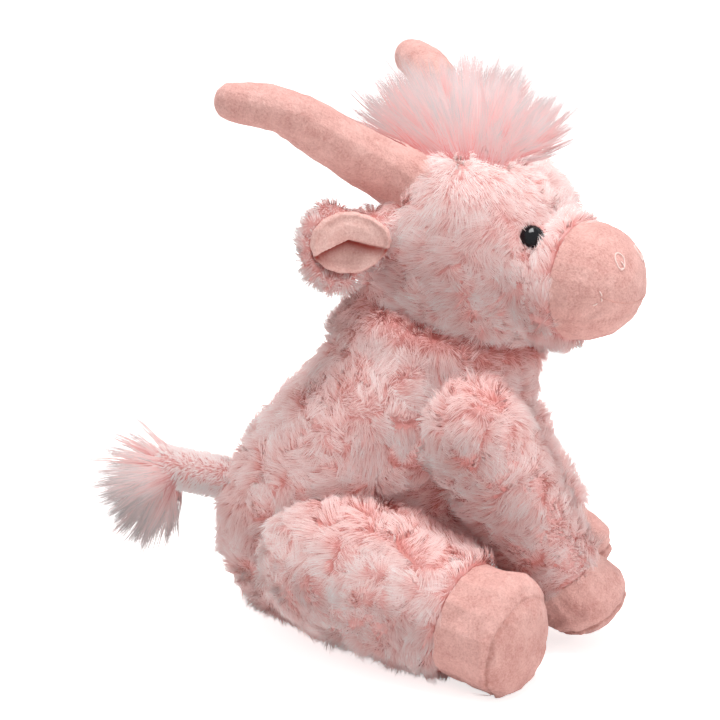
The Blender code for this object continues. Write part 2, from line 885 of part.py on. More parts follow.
# Legs. Each is cut between planes into a furry tube, a hoof and a sole.
for word, side in MIRROR_SIDES:
    shoulder, shoulderOut, hip, hipOut = limbFrames[word]

    frontAxis = empty(f"front_leg_axis_{word}", shoulder)
    ahead = Vector((cos(SHOULDER_TOE_IN), -side * sin(SHOULDER_TOE_IN), 0))
    along = ahead * cos(FRONT_LEAN) + upAxis * sin(FRONT_LEAN)
    toe = ahead * -sin(FRONT_LEAN) + upAxis * cos(FRONT_LEAN)
    hoof = along * FRONT_REACH + toe * FRONT_TOE_PUSH
    ankle = along * (FRONT_REACH - FRONT_HOOF_BACK)
    sole = hoof + along * FRONT_HOOF_FRONT
    frontForm = {
        "path": [
            -along * FRONT_TOP_RADIUS,
            along * (FRONT_REACH / 4),
            along * (FRONT_REACH / 2),
            ankle,
            hoof,
            sole + along * FRONT_SOLE_DOME,
        ],
        "wide": [
            FRONT_TOP_RADIUS,
            FRONT_TOP_RADIUS,
            FRONT_MID_RADIUS,
            FRONT_ANKLE_RADIUS,
            FRONT_HOOF_RADIUS,
            FRONT_HOOF_RADIUS,
        ],
        "across": Vector((0, 1, 0)),
        "start_dome": FRONT_TOP_RADIUS,
        "end_dome": FRONT_SOLE_DOME * 1.6,
    }
    frontForm["thick"] = frontForm["wide"]
    inward = -shoulderOut
    flat = inward * (SHOULDER_SINK - GAP)

    def front_part(swell, low, high):
        bm = trim(limb(frontForm, swell), flat, inward)
        if low is not None:
            trim(bm, low, -along)
        if high is not None:
            trim(bm, high, along)
        return bm

    half = along * (GAP / 2)
    hollow = piece(f"front_hollow_{word}", limb(frontForm, -FABRIC), None, frontAxis)
    for name, low, high, looks in (
        ("front_leg", None, ankle - half, furLooks),
        ("front_hoof", ankle + half, sole - half, velourLooks),
        ("front_sole", sole + half, None, velourLooks),
    ):
        part = piece(f"{name}_{word}", front_part(0.0, low, high), looks, frontAxis)
        boolean(part, hollow)
    piece(
        f"front_stuffing_{word}",
        front_part(-FABRIC - GAP, None, None),
        fillLooks,
        frontAxis,
    )

    hindAxis = empty(f"hind_leg_axis_{word}", hip)
    away = Vector((cos(HIND_SPLAY), side * sin(HIND_SPLAY), 0))
    hoofHeight = HIND_HOOF_RADIUS - SQUASH
    drop = HIP[2] - hoofHeight
    flatReach = sqrt(HIND_REACH**2 - drop**2)
    hoof = away * flatReach - upAxis * drop
    along = hoof.normalized()
    ankle = along * (HIND_REACH - HIND_HOOF_BACK)
    sole = hoof + away * HIND_HOOF_FRONT
    hindForm = {
        "path": [
            -along * HIND_TOP_RADIUS,
            along * (HIND_REACH / 6),
            along * (HIND_REACH / 2),
            ankle,
            hoof,
            sole + away * HIND_SOLE_DOME,
        ],
        "wide": [
            HIND_TOP_RADIUS,
            HIND_TOP_RADIUS,
            HIND_MID_RADIUS,
            HIND_ANKLE_RADIUS,
            HIND_HOOF_RADIUS,
            HIND_HOOF_RADIUS,
        ],
        "across": upAxis,
        "start_dome": HIND_TOP_RADIUS,
        "end_dome": HIND_SOLE_DOME * 1.5,
    }
    hindForm["thick"] = hindForm["wide"]
    inward = -hipOut
    flat = inward * (HIP_SINK - GAP)
    floor = -upAxis * HIP[2]

    def hind_part(swell, low, high):
        bm = trim(limb(hindForm, swell), flat, inward)
        trim(bm, floor, -upAxis)
        if low is not None:
            trim(bm, low, -along)
        if high is not None:
            trim(bm, high, along)
        return bm

    half = along * (GAP / 2)
    hollow = piece(f"hind_hollow_{word}", limb(hindForm, -FABRIC), None, hindAxis)
    for name, low, high, looks in (
        ("hind_leg", None, ankle - half, furLooks),
        ("hind_hoof", ankle + half, sole - half, velourLooks),
        ("hind_sole", sole + half, None, velourLooks),
    ):
        part = piece(f"{name}_{word}", hind_part(0.0, low, high), looks, hindAxis)
        boolean(part, hollow)
    beanPlane = hoof - along * HIND_BEAN_BACK
    piece(
        f"hind_stuffing_{word}",
        hind_part(-FABRIC - GAP, None, beanPlane - half),
        fillLooks,
        hindAxis,
    )
    piece(
        f"hoof_bean_bag_{word}",
        hind_part(-FABRIC - GAP, beanPlane + half, None),
        bagLooks,
        hindAxis,
    )

# Tail: a stuffed tube with a long-pile tuft that hangs from its end.
tailAxis = empty("tail_axis", tailRoot)
tailAlong = Vector((-cos(TAIL_RISE), 0, sin(TAIL_RISE)))
tailForm = {
    "path": [
        -tailAlong * TAIL_RADIUS,
        tailAlong * (TAIL_LENGTH / 2),
        tailAlong * (TAIL_LENGTH + OVERRUN),
    ],
    "wide": [TAIL_RADIUS] * 3,
    "thick": [TAIL_RADIUS] * 3,
    "across": Vector((0, 1, 0)),
    "start_dome": TAIL_RADIUS,
    "end_dome": TAIL_RADIUS / 4,
}
tailEnd = tailAlong * TAIL_LENGTH
tail = piece("tail_cover", trim(limb(tailForm, 0.0), tailEnd, tailAlong), furLooks, tailAxis)
boolean(tail, piece("tail_hollow", limb(tailForm, -VELOUR), None, tailAxis))
tailFill = trim(limb(tailForm, -VELOUR - GAP), tailEnd, tailAlong)
piece("tail_stuffing", tailFill, fillLooks, tailAxis)
tuftRise = TAIL_RISE - TUFT_DROOP
tailTuft = piece(
    "tail_tuft",
    tuft(
        tailEnd,
        Vector((-cos(tuftRise), 0, sin(tuftRise))),
        TUFT_LENGTH,
        TAIL_RADIUS,
        TUFT_TIP_RADIUS,
        TUFT_LOCKS,
        0.0,
    ),
    tuftLooks,
    tailAxis,
)
tailRoom = trim(limb(tailForm, GAP), tailEnd + tailAlong * GAP, tailAlong)
boolean(tailTuft, piece("tail_room", tailRoom, None, tailAxis))
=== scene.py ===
# The plush cow's cloth, pile, thread and eyes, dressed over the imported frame.
import itertools
import math

import bmesh
import bpy
import numpy as np
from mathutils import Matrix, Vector
from mathutils.bvhtree import BVHTree
from mathutils.kdtree import KDTree


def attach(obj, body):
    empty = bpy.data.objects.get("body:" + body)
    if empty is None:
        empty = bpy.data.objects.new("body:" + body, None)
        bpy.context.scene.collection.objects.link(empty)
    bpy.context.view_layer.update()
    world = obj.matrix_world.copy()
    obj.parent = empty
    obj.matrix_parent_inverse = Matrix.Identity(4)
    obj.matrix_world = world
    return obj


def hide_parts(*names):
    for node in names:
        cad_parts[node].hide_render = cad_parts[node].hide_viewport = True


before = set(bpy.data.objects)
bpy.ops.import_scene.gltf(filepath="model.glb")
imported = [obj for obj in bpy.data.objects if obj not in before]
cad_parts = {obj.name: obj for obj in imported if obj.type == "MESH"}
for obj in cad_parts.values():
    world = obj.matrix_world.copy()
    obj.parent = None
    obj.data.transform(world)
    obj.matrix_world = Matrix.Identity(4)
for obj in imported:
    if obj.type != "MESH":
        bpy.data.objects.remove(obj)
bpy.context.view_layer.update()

mm = 0.001

camera = {"at": (0.006, 0, 0.1243), "elevation": 16, "distance": 1.1, "lens": 121, "sensor": 36, "clip": 0.05}
studio = {
    "sky": 0.42, "lampsAimAt": (0.02, 0, 0.12),
    "lamps": (  # name, place, width in metres, watts
        ("key_light", (0.14, -0.1, 1.65), 0.7, 21),
        ("fill_light", (1.3, -0.75, 0.5), 1.2, 6.2),
        ("back_light", (-1.3, 0.4, 0.8), 1.2, 5.4),
    ),
    "floorHalf": 6.0, "floorColour": (246, 244, 243), "floorGlow": 0.68,
}


def added(name, data):
    made = bpy.data.objects.new(name, data)
    bpy.context.collection.objects.link(made)
    return made


def aimAt(thing, target):
    thing.rotation_euler = (Vector(target) - thing.location).to_track_quat("-Z", "Y").to_euler()


def linear(colour):
    share = np.array(colour, float) / 255
    return tuple(np.where(share <= 0.04045, share / 12.92, ((share + 0.055) / 1.055) ** 2.4)) + (1.0,)


class Finish:
    # The nodes of a material or of the world, with their maths written as expressions.
    def __init__(self, name, owner=None):
        self.owner = owner or bpy.data.materials.new(name)
        self.owner.use_nodes = True
        self.tree = self.owner.node_tree
        self.tree.nodes.clear()

    def node(self, kind, settings=None, sockets=None, output=0):
        made = self.tree.nodes.new("ShaderNode" + kind)
        for key, value in (settings or {}).items():
            if key == "stops":
                ramp = made.color_ramp
                while len(ramp.elements) < len(value):
                    ramp.elements.new(0.5)
                for stop, (place, colour) in zip(ramp.elements, value):
                    stop.position = place
                    stop.color = colour
            else:
                setattr(made, key, value)
        for key, value in (sockets or {}).items():
            if isinstance(value, Wire):
                self.tree.links.new(value.socket, made.inputs[key])
            else:
                made.inputs[key].default_value = value
        return Wire(self, made.outputs[output]) if made.outputs else None

    def mix(self, share, first, second):
        return self.node("Mix", {"data_type": "RGBA"}, {0: share, 6: first, 7: second}, 2)

    def noise(self, scale, detail, roughness=0.5):
        sockets = {"Scale": scale, "Detail": detail, "Roughness": roughness, "Vector": self.node("NewGeometry")}
        return self.node("TexNoise", {}, sockets)

    def bump(self, strength, reach, height):
        return self.node("Bump", {}, {"Strength": strength, "Distance": reach, "Height": height})

    def painted(self, name):
        # A number that the piece's own mesh holds.
        return self.node("Attribute", {"attribute_name": name}, {}, 2)

    def surface(self, **sockets):
        shader = self.node("BsdfPrincipled", {}, {key.replace("_", " "): value for key, value in sockets.items()})
        self.node("OutputMaterial", {}, {"Surface": shader})
        return self.owner


class Wire:
    # A socket on which maths is written with + - * and numbers.
    def __init__(self, finish, socket):
        self.finish = finish
        self.socket = socket

    def worked(self, operation, first, second, clamp=False):
        settings = {"operation": operation, "use_clamp": clamp}
        return self.finish.node("Math", settings, {0: first, 1: second})

    def __add__(self, other):
        return self.worked("ADD", self, other)

    def __radd__(self, other):
        return self.worked("ADD", other, self)

    def __sub__(self, other):
        return self.worked("SUBTRACT", self, other)

    def __rsub__(self, other):
        return self.worked("SUBTRACT", other, self)

    def __mul__(self, other):
        return self.worked("MULTIPLY", self, other)

    def __rmul__(self, other):
        return self.worked("MULTIPLY", other, self)

    def clamped(self):
        return self.worked("ADD", self, 0.0, True)


def makeCamera():
    made = added("camera", bpy.data.cameras.new("camera"))
    rise = math.radians(camera["elevation"])
    away = Vector((0, -math.cos(rise), math.sin(rise))) * camera["distance"]
    made.location = Vector(camera["at"]) + away
    made.data.lens = camera["lens"]
    made.data.sensor_width = camera["sensor"]
    made.data.clip_start = camera["clip"]
    aimAt(made, camera["at"])
    bpy.context.scene.camera = made


def makeLights():
    for name, place, size, power in studio["lamps"]:
        data = bpy.data.lights.new(name, "AREA")
        data.shape = "DISK"
        data.size = size
        data.energy = power
        lamp = added(name, data)
        lamp.location = place
        aimAt(lamp, studio["lampsAimAt"])
    bpy.context.scene.world = bpy.data.worlds.new("studio")
    sky = Finish("studio", bpy.context.scene.world)
    byCamera, byGloss = sky.node("LightPath"), sky.node("LightPath", output="Is Glossy Ray")
    seen = sky.node("Math", {"operation": "MAXIMUM"}, {0: byCamera, 1: byGloss})  # white where it shows
    level = sky.node("MapRange", {}, {"Value": seen, "To Min": studio["sky"], "To Max": 1.0})
    dome = sky.node("Background", {}, {"Color": (1, 1, 1, 1), "Strength": level})
    sky.node("OutputWorld", {}, {"Surface": dome})


def makeFloor():
    data = bpy.data.meshes.new("floor")
    half = studio["floorHalf"]
    data.from_pydata([(-half, -half, 0), (half, -half, 0), (half, half, 0), (-half, half, 0)], [], [(0, 1, 2, 3)])
    floor = added("floor", data)
    finish = Finish("pale_floor")
    seen = finish.node("LightPath")  # the camera's own rays meet white, and the lamps meet a plain pale floor
    data.materials.append(finish.surface(
        Base_Color=linear(studio["floorColour"]), Roughness=0.9, Specular_IOR_Level=0.1,
        Emission_Color=(1, 1, 1, 1), Emission_Strength=seen * studio["floorGlow"]))


fibre = {"toneShare": 0.7, "roughness": 0.8, "specular": 0.05, "scatter": 0.4, "scatterReach": 0.001}
velourGrain = {
    "patchSize": 110, "pressSize": 600, "napSize": 1150, "patches": 0.9, "press": 0.7, "nap": 1.1, "dark": 0.95,
    "pressDepth": 0.6, "napDepth": 0.8, "bump": 0.8, "bumpReach": 0.0007, "roughness": 0.9, "sheen": 0.2,
}
backingGrain = {"weaveSize": 1500, "weave": 0.5, "crest": 0.8, "dark": 0.15, "bump": 0.8, "bumpReach": 0.0006}


def pileFinish(name, *stops):
    # Paler from root to tip, each strand by its own tone: the darker roots are painted shade deep in the pile, and in
    # the grown pile the tone also holds painted shade.
    finish = Finish(name)
    pale = (finish.painted("along") + (finish.painted("tone") - 0.5) * fibre["toneShare"]).clamped()
    ramp = [(place, linear(colour)) for place, colour in stops]
    return finish.surface(
        Base_Color=finish.node("ValToRGB", {"stops": ramp}, {"Fac": pale}), Roughness=fibre["roughness"],
        Specular_IOR_Level=fibre["specular"], Subsurface_Weight=fibre["scatter"], Subsurface_Radius=(1, 0.5, 0.45),
        Subsurface_Scale=fibre["scatterReach"])


def velourFinish(name, pale, shade, paintedShade):
    # Short nap, brushed and pressed into patches, and darker where its fold mark says: painted shade in seams,
    # pinches, pockets and undersides.
    finish = Finish(name)
    grain = velourGrain
    patches = finish.noise(grain["patchSize"], 3)
    press = finish.noise(grain["pressSize"], 3, 0.6)
    nap = finish.noise(grain["napSize"], 2, 0.7)
    share = (patches * grain["patches"] + press * grain["press"] + nap * grain["nap"] - grain["dark"]).clamped()
    height = press * grain["pressDepth"] + nap * grain["napDepth"]
    bump = finish.bump(grain["bump"], grain["bumpReach"], height)
    cloth = finish.mix(share, linear(shade), linear(pale))
    # The fold mark mixes in the deep colour, which is painted shade.
    return finish.surface(
        Base_Color=finish.mix(finish.painted("fold"), cloth, linear(paintedShade)), Roughness=grain["roughness"], Normal=bump,
        Specular_IOR_Level=0.05, Sheen_Weight=grain["sheen"], Sheen_Roughness=0.5, Sheen_Tint=(1, 0.9, 0.88, 1))


def backingFinish(name, colour, paintedShade):
    # The cloth that the pile grows from, paler on the mounds than between them: darker between them and where the toy
    # shelters it, which is painted shade.
    finish = Finish(name)
    grain = backingGrain
    weave = finish.noise(grain["weaveSize"], 2, 0.7)
    bump = finish.bump(grain["bump"], grain["bumpReach"], weave)
    share = (finish.painted("crest") * grain["crest"] + weave * grain["weave"] - grain["dark"]).clamped()
    return finish.surface(
        Base_Color=finish.mix(share, linear(paintedShade), linear(colour)), Roughness=0.95, Normal=bump,
        Specular_IOR_Level=0.05)


def eyeFinish():
    finish = Finish("eye_gloss")
    swirl = finish.noise(220, 3)
    return finish.surface(
        Base_Color=finish.mix(swirl, linear((8, 8, 11)), linear((20, 20, 26))), Roughness=0.1,
        Specular_IOR_Level=0.25)


def threadFinish(name, pale, shade):
    finish = Finish(name)
    twist = finish.noise(1800, 2)
    return finish.surface(
        Base_Color=finish.mix(twist, linear(shade), linear(pale)), Roughness=0.7, Sheen_Weight=0.2,
        Normal=finish.bump(0.5, 0.3 * mm, twist))


# The pile ramps' darker root colours are painted shade deep in the pile.
finishes = {
    "plush": pileFinish(
        "plush_pile", (0, (196, 110, 104)), (0.22, (230, 157, 152)), (0.48, (244, 186, 182)),
        (0.8, (252, 208, 204)), (1, (255, 232, 229))),
    "short": pileFinish("short_pile", (0, (234, 176, 172)), (0.5, (250, 212, 209)), (1, (255, 236, 234))),
    "long": pileFinish(
        "long_pile", (0, (226, 120, 122)), (0.4, (230, 158, 157)), (0.8, (222, 170, 170)), (1, (192, 168, 169))),
    "tuft": pileFinish(
        "tuft_pile", (0, (214, 132, 130)), (0.4, (238, 186, 184)), (0.75, (222, 192, 191)), (1, (172, 158, 158))),
    "velour": velourFinish("velour", (248, 202, 194), (204, 146, 138), (140, 72, 58)),
    "lining": velourFinish("ear_velour", (255, 220, 212), (216, 162, 153), (150, 62, 54)),
    "cloth": backingFinish("pile_backing", (240, 184, 180), (206, 124, 118)),
    "eye": eyeFinish(),
    "thread": threadFinish("thread", (252, 228, 222), (232, 192, 184)),
    "mouth": threadFinish("mouth_thread", (226, 172, 162), (196, 136, 126)),
}


def wander(points, size, seed):
    # A smooth random vector for each point, that turns over this many metres.
    grid = 24  # the pattern repeats after this many sizes
    table = np.random.default_rng(seed).uniform(-1, 1, (grid, grid, grid, 3))
    cell = np.floor(points / size).astype(int)
    part = points / size - cell
    part = part * part * (3 - 2 * part)
    total = np.zeros_like(points)
    for corner in itertools.product((0, 1), repeat=3):
        weight = np.prod(np.where(corner, part, 1 - part), axis=1)
        at = (cell + corner) % grid
        total += table[at[:, 0], at[:, 1], at[:, 2]] * weight[:, None]
    return total


def unit(vectors):
    return vectors / np.maximum(np.linalg.norm(vectors, axis=-1, keepdims=True), 1e-12)


def pointTree(points):
    tree = KDTree(len(points))
    for at, place in enumerate(points):
        tree.insert(place, at)
    tree.balance()
    return tree


def foundNear(tree, points, number):
    # The indices and the distances of each point's nearest few.
    found = [tree.find_n(place, number) for place in points]
    return [np.array([[hit[part] for hit in hits] for hits in found]) for part in (1, 2)]


def mark(data, name, values):
    data.attributes.new(name, "FLOAT", "POINT").data.foreach_set("value", values.astype(np.float32).ravel())


def setPlaces(data, places):
    data.vertices.foreach_set("co", places.astype(np.float32).ravel())


def dressed(thing, finish, body):
    thing.data.materials.clear()
    thing.data.materials.append(finishes[finish])
    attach(thing, body)


def clamp(values):
    return np.clip(values, 0, 1)


def arraysOf(data):
    places = np.zeros(len(data.vertices) * 3)
    data.vertices.foreach_get("co", places)
    data.calc_loop_triangles()
    corners = np.zeros(len(data.loop_triangles) * 3, np.int32)
    data.loop_triangles.foreach_get("vertices", corners)
    return places.reshape(-1, 3), corners.reshape(-1, 3)


def treeOf(*nodes):
    places, corners, count = [], [], 0
    for node in nodes:
        here, faces = arraysOf(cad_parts[node].data)
        places.append(here)
        corners.append(faces + count)
        count += len(here)
    return BVHTree.FromPolygons(np.concatenate(places).tolist(), np.concatenate(corners).tolist())


def skyRays(count):
    # Ways up into the light, closer together overhead.
    turn = np.arange(count) * math.radians(137.5)  # the golden angle spreads them evenly
    rise = np.sqrt((np.arange(count) + 0.5) / count)
    flat = np.sqrt(1 - rise ** 2)
    return np.stack([np.cos(turn) * flat, np.sin(turn) * flat, rise], 1)


sides = ("left", "right")
wholeTree = treeOf("body_cover", "head_cover", "muzzle_cover", "tail_cover", *(
    f"{part}_{side}" for side in sides
    for part in ("horn", "ear", "front_leg", "front_hoof", "front_sole", "hind_leg", "hind_hoof", "hind_sole")))


shelterRays = {"points": 1400, "rays": 20, "lift": 6 * mm, "reach": 0.12}
mounds = {
    "tries": 5000, "spacing": 0.8, "swell": (-0.2, 0.25), "swirlSize": 30 * mm, "ownWay": 0.7, "border": 0.5,
    "front": 0.45, "leastCrest": 0.3, "evenOut": 0.85, "room": 0.5, "wobbleSize": 9 * mm, "wobble": 0.35,
}


class Skin:
    # One closed cloth surface round one or more CAD nodes, remeshed so that it can be worked.
    def __init__(self, name, nodes, voxel, smooth=4):
        joined = bmesh.new()
        for node in nodes:
            joined.from_mesh(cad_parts[node].data)
        data = bpy.data.meshes.new(name + "_raw")
        joined.to_mesh(data)
        joined.free()
        rough = added(name + "_raw", data)
        remesh = rough.modifiers.new("remesh", "REMESH")
        remesh.mode = "VOXEL"
        remesh.voxel_size = voxel
        graph = bpy.context.evaluated_depsgraph_get()
        self.data = bpy.data.meshes.new_from_object(rough.evaluated_get(graph))
        bpy.data.objects.remove(rough)
        self.data.name = name
        self.name = name
        self.nodes = nodes
        self.object = added(name, self.data)
        self.places, self.faces = arraysOf(self.data)
        ends = np.zeros(len(self.data.edges) * 2, np.int32)
        self.data.edges.foreach_get("vertices", ends)
        self.ends = ends.reshape(-1, 2)
        self.count = np.bincount(ends, minlength=len(self.places))[:, None]
        for step in range(smooth * 2):  # each pair of passes takes out the voxel steps and keeps the volume
            toward = self.around(self.places) / np.maximum(self.count, 1) - self.places
            self.places = self.places + toward * (0.5 if step % 2 == 0 else -0.52)
        self.settle()

    def around(self, values):
        # The sum of each vertex's neighbours.
        total = np.zeros_like(values)
        np.add.at(total, self.ends[:, 0], values[self.ends[:, 1]])
        np.add.at(total, self.ends[:, 1], values[self.ends[:, 0]])
        return total

    def settle(self):
        corners = self.places[self.faces]
        across = np.cross(corners[:, 1] - corners[:, 0], corners[:, 2] - corners[:, 0])
        self.areas = np.linalg.norm(across, axis=1) / 2
        normals = np.zeros_like(self.places)
        for side in range(3):
            np.add.at(normals, self.faces[:, side], across)
        self.normals = unit(normals)

    def push(self, amounts):
        self.places = self.places + self.normals * amounts[:, None]
        self.settle()

    def shelter(self):
        # How far the toy itself shuts each part of the skin off from the light above.
        most = min(len(self.places), shelterRays["points"])
        few = np.random.default_rng(5).choice(len(self.places), most, replace=False)
        shut = np.zeros(len(few))
        rays = skyRays(shelterRays["rays"])
        for at, place in enumerate(few):
            start = Vector(self.places[place] + self.calm[place] * shelterRays["lift"])
            for ray in rays:
                if self.calm[place] @ ray > 0.05:
                    shut[at] += wholeTree.ray_cast(start, Vector(ray), shelterRays["reach"])[0] is not None
        around, _ = foundNear(pointTree(self.places[few]), self.places, 6)
        return clamp(shut[around].mean(1) / len(rays) * 2)

    def fluff(self, look, seed, flow=None, neighbours=None, bare=None, flat=None):
        # Raises soft overlapping mounds, one for each tuft: highest on the side that its pile leans to.
        rng = np.random.default_rng(seed)
        self.calm = self.normals
        for step in range(look["calm"]):
            self.calm = unit(self.calm + self.around(self.calm))
        few = self.places[rng.choice(len(self.places), min(len(self.places), mounds["tries"]), replace=False)]
        self.centres = few[spaced(few, look["tuft"] * mounds["spacing"], rng)]
        count = len(self.centres)
        self.swell = rng.uniform(*mounds["swell"], count)
        self.paleness = rng.normal(0, 1, count)
        self.tuftSize = look["tuft"]
        self.wobbleSeed = seed + 2
        even = flat(self.centres) if flat else np.zeros(count)
        ownWay = mounds["ownWay"] * unit(rng.normal(0, 1, (count, 3)))
        swirl = unit(wander(self.centres, mounds["swirlSize"], seed + 1) + ownWay)
        self.leaning = swirl * look["lean"] + (flow(self.centres) if flow else 0)
        self.leaning += (0.35 * headForward - upward - self.leaning) * even[:, None]
        tuft, border, away = self.tuftOf(self.places)
        front = (away * unit(self.leaning)[tuft]).sum(1)
        edge = clamp(border / mounds["border"])
        self.crest = edge * (2 - edge) * np.clip(0.7 + mounds["front"] * front, mounds["leastCrest"], 1)
        height = look["mound"] * self.crest * (0.8 + 0.35 * self.paleness[tuft].clip(-1.5, 1.5))
        self.even = flat(self.places) if flat else np.zeros(len(self.places))
        height = height * (1 - mounds["evenOut"] * self.even)
        room = np.full(len(self.places), look["mound"] * 2)
        if neighbours is not None:
            room = nearest(self.places, neighbours)
        if bare is not None:
            room = np.minimum(room, nearest(self.places, bare) * 1.2)
        # How far each place is sheltered from the light above, painted as shade into the backing and the pile.
        self.paintedShade = self.shelter()
        self.push(np.clip(np.minimum(height, room * mounds["room"]), 0, None))
        self.places[:, 2] = np.maximum(self.places[:, 2], 0)
        # The crest mark, lower between the mounds and where sheltered, paints shade into the backing.
        mark(self.data, "crest", self.crest * (1 - 0.8 * self.paintedShade))

    def tuftOf(self, points):
        # Which tuft a point is in, how far inside its border, and where in it.
        size = self.tuftSize
        moved = points + wander(points, mounds["wobbleSize"], self.wobbleSeed) * size * mounds["wobble"]
        near, gaps = foundNear(pointTree(self.centres), moved, min(4, len(self.centres)))
        gaps = gaps / size - self.swell[near]
        order = np.argsort(gaps, 1)
        gaps = np.take_along_axis(gaps, order, 1)
        tuft = np.take_along_axis(near, order, 1)[:, 0]
        return tuft, gaps[:, min(1, gaps.shape[1] - 1)] - gaps[:, 0], (points - self.centres[tuft]) / size

    def scatter(self, count, rng):
        # Even places on the skin, each as the corners of a face and their weights.
        share = np.cumsum(self.areas)
        face = np.searchsorted(share, rng.uniform(0, share[-1], count))
        first, second = rng.uniform(0, 1, (2, count))
        over = first + second > 1
        first[over], second[over] = 1 - first[over], 1 - second[over]
        return self.faces[face], np.stack([1 - first - second, first, second], 1)

    def tree(self):
        return BVHTree.FromPolygons(self.places.tolist(), self.faces.tolist())

    def dress(self, finish, body, slot, fill=None):
        setPlaces(self.data, self.places)
        self.data.shade_smooth()
        self.data.update()
        dressed(self.object, finish, body)
        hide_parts(*self.nodes)
        return self


strand = {"taper": 0.75, "flat": 30, "outward": 0.15}


def strandMap(quads, rings):
    # Each strand has a small cell of the map: its three sides one beside another, and its root in a corner.
    heights = [share * 0.9 for share in rings]
    edges = [(0.05 + corner * 0.25, 0.05 + (corner + 1) * 0.25) for corner in range(3)]
    spots = []
    for face in quads:
        ring, corner = divmod(face[0], 3)
        left, right = edges[corner]
        spots += [(left, heights[ring]), (right, heights[ring]), (right, heights[ring + 1]), (left, heights[ring + 1])]
    for left, right in edges:
        spots += [(left, heights[-1]), (right, heights[-1]), ((left + right) / 2, 0.93)]
    return np.array(spots + [(0.85, 0.3), (0.95, 0.3), (0.9, 0.6)])


def growStrands(name, body, look, slot, roots, bends, tips, widths, tones, normals):
    # Every strand is a closed three-sided lock: rings along a bend, then one tip.
    rings = look["rings"]
    count, ringCount = len(roots), len(rings)
    perStrand = ringCount * 3 + 1
    places = np.zeros((count, perStrand, 3))
    shading = np.zeros((count, perStrand, 3))
    along = np.zeros((count, perStrand))
    for ring, share in enumerate(rings):
        middle = (1 - share) ** 2 * roots + 2 * share * (1 - share) * bends + share ** 2 * tips
        heading = unit(2 * (1 - share) * (bends - roots) + 2 * share * (tips - bends))
        side = unit(np.cross(heading, normals + 0.01))
        up = np.cross(heading, side)
        radius = widths * (1 - strand["taper"] * share) / 2
        for corner in range(3):
            turn = math.radians(strand["flat"] + 120 * corner)  # one side lies flat, facing out
            out = side * math.cos(turn) + up * math.sin(turn)
            at = ring * 3 + corner
            places[:, at] = middle + out * radius[:, None]
            shading[:, at] = unit(out * strand["outward"] + normals * 0.9)
            along[:, at] = share
    places[:, -1] = tips
    shading[:, -1] = unit(unit(tips - bends) * strand["outward"] + normals * 0.85)
    along[:, -1] = 1
    quads = []
    for ring in range(ringCount - 1):
        for corner in range(3):
            low, after = ring * 3 + corner, ring * 3 + (corner + 1) % 3
            quads.append((low, after, after + 3, low + 3))
    last = (ringCount - 1) * 3
    triangles = [(last + corner, last + (corner + 1) % 3, perStrand - 1) for corner in range(3)] + [(2, 1, 0)]
    corners = np.array([at for face in quads + triangles for at in face])
    sizes = np.array([4] * len(quads) + [3] * len(triangles))
    starts = np.concatenate([[0], np.cumsum(sizes)[:-1]])
    number = np.arange(count)
    data = bpy.data.meshes.new(name)
    data.vertices.add(count * perStrand)
    setPlaces(data, places)
    data.loops.add(count * len(corners))
    data.loops.foreach_set("vertex_index", (corners[None] + number[:, None] * perStrand).ravel().astype(np.int32))
    data.polygons.add(count * len(sizes))
    data.polygons.foreach_set("loop_start", (starts[None] + number[:, None] * len(corners)).ravel().astype(np.int32))
    data.update(calc_edges=True)
    data.validate()
    cells = math.ceil(math.sqrt(count))
    spots = strandMap(quads, rings)
    spread = np.stack([(number % cells)[:, None] + spots[:, 0], (number // cells)[:, None] + spots[:, 1]], -1) / cells
    data.uv_layers.new(name="OFBake").data.foreach_set("uv", spread.astype(np.float32).ravel())
    mark(data, "along", along)
    mark(data, "tone", np.repeat(tones, perStrand))
    data.shade_smooth()
    data.normals_split_custom_set_from_vertices(shading.reshape(-1, 3).astype(np.float32))
    made = added(name, data)
    dressed(made, look["finish"], body)
    made.visible_shadow = False  # fibres let the light through, so the skin beneath casts the shade
    made.visible_diffuse = False
    return made


def growPieces(name, body, look, slot, order, *strands):
    # The strands in that order, shared out over pieces that are no larger than the look says.
    pieces = math.ceil(len(order) / look["mostInPiece"])
    made = []
    for piece, chosen in enumerate(np.array_split(order, pieces)):
        made.append(growStrands(f"{name}_{piece + 1}", body, look, slot, *(values[chosen] for values in strands)))
    print(f"{name}: {len(order)} strands in {pieces} pieces")
    return made


def nearest(points, tree):
    # How far each point is from the nearest surface.
    return np.array([tree.find_nearest(Vector(place))[3] for place in points])


def spaced(points, gap, rng):
    # A share of the points, none nearer to another than the gap.
    kept = []
    cells = {}
    for at in rng.permutation(len(points)):
        place = points[at]
        cell = tuple(np.floor(place / gap).astype(int))
        beside = itertools.product(*((step - 1, step, step + 1) for step in cell))
        others = [other for key in beside for other in cells.get(key, ())]
        if all(np.dot(points[other] - place, points[other] - place) >= gap * gap for other in others):
            kept.append(at)
            cells.setdefault(cell, []).append(at)
    return np.array(kept)


def tangent(vectors, normals):
    return vectors - normals * (vectors * normals).sum(1)[:, None]


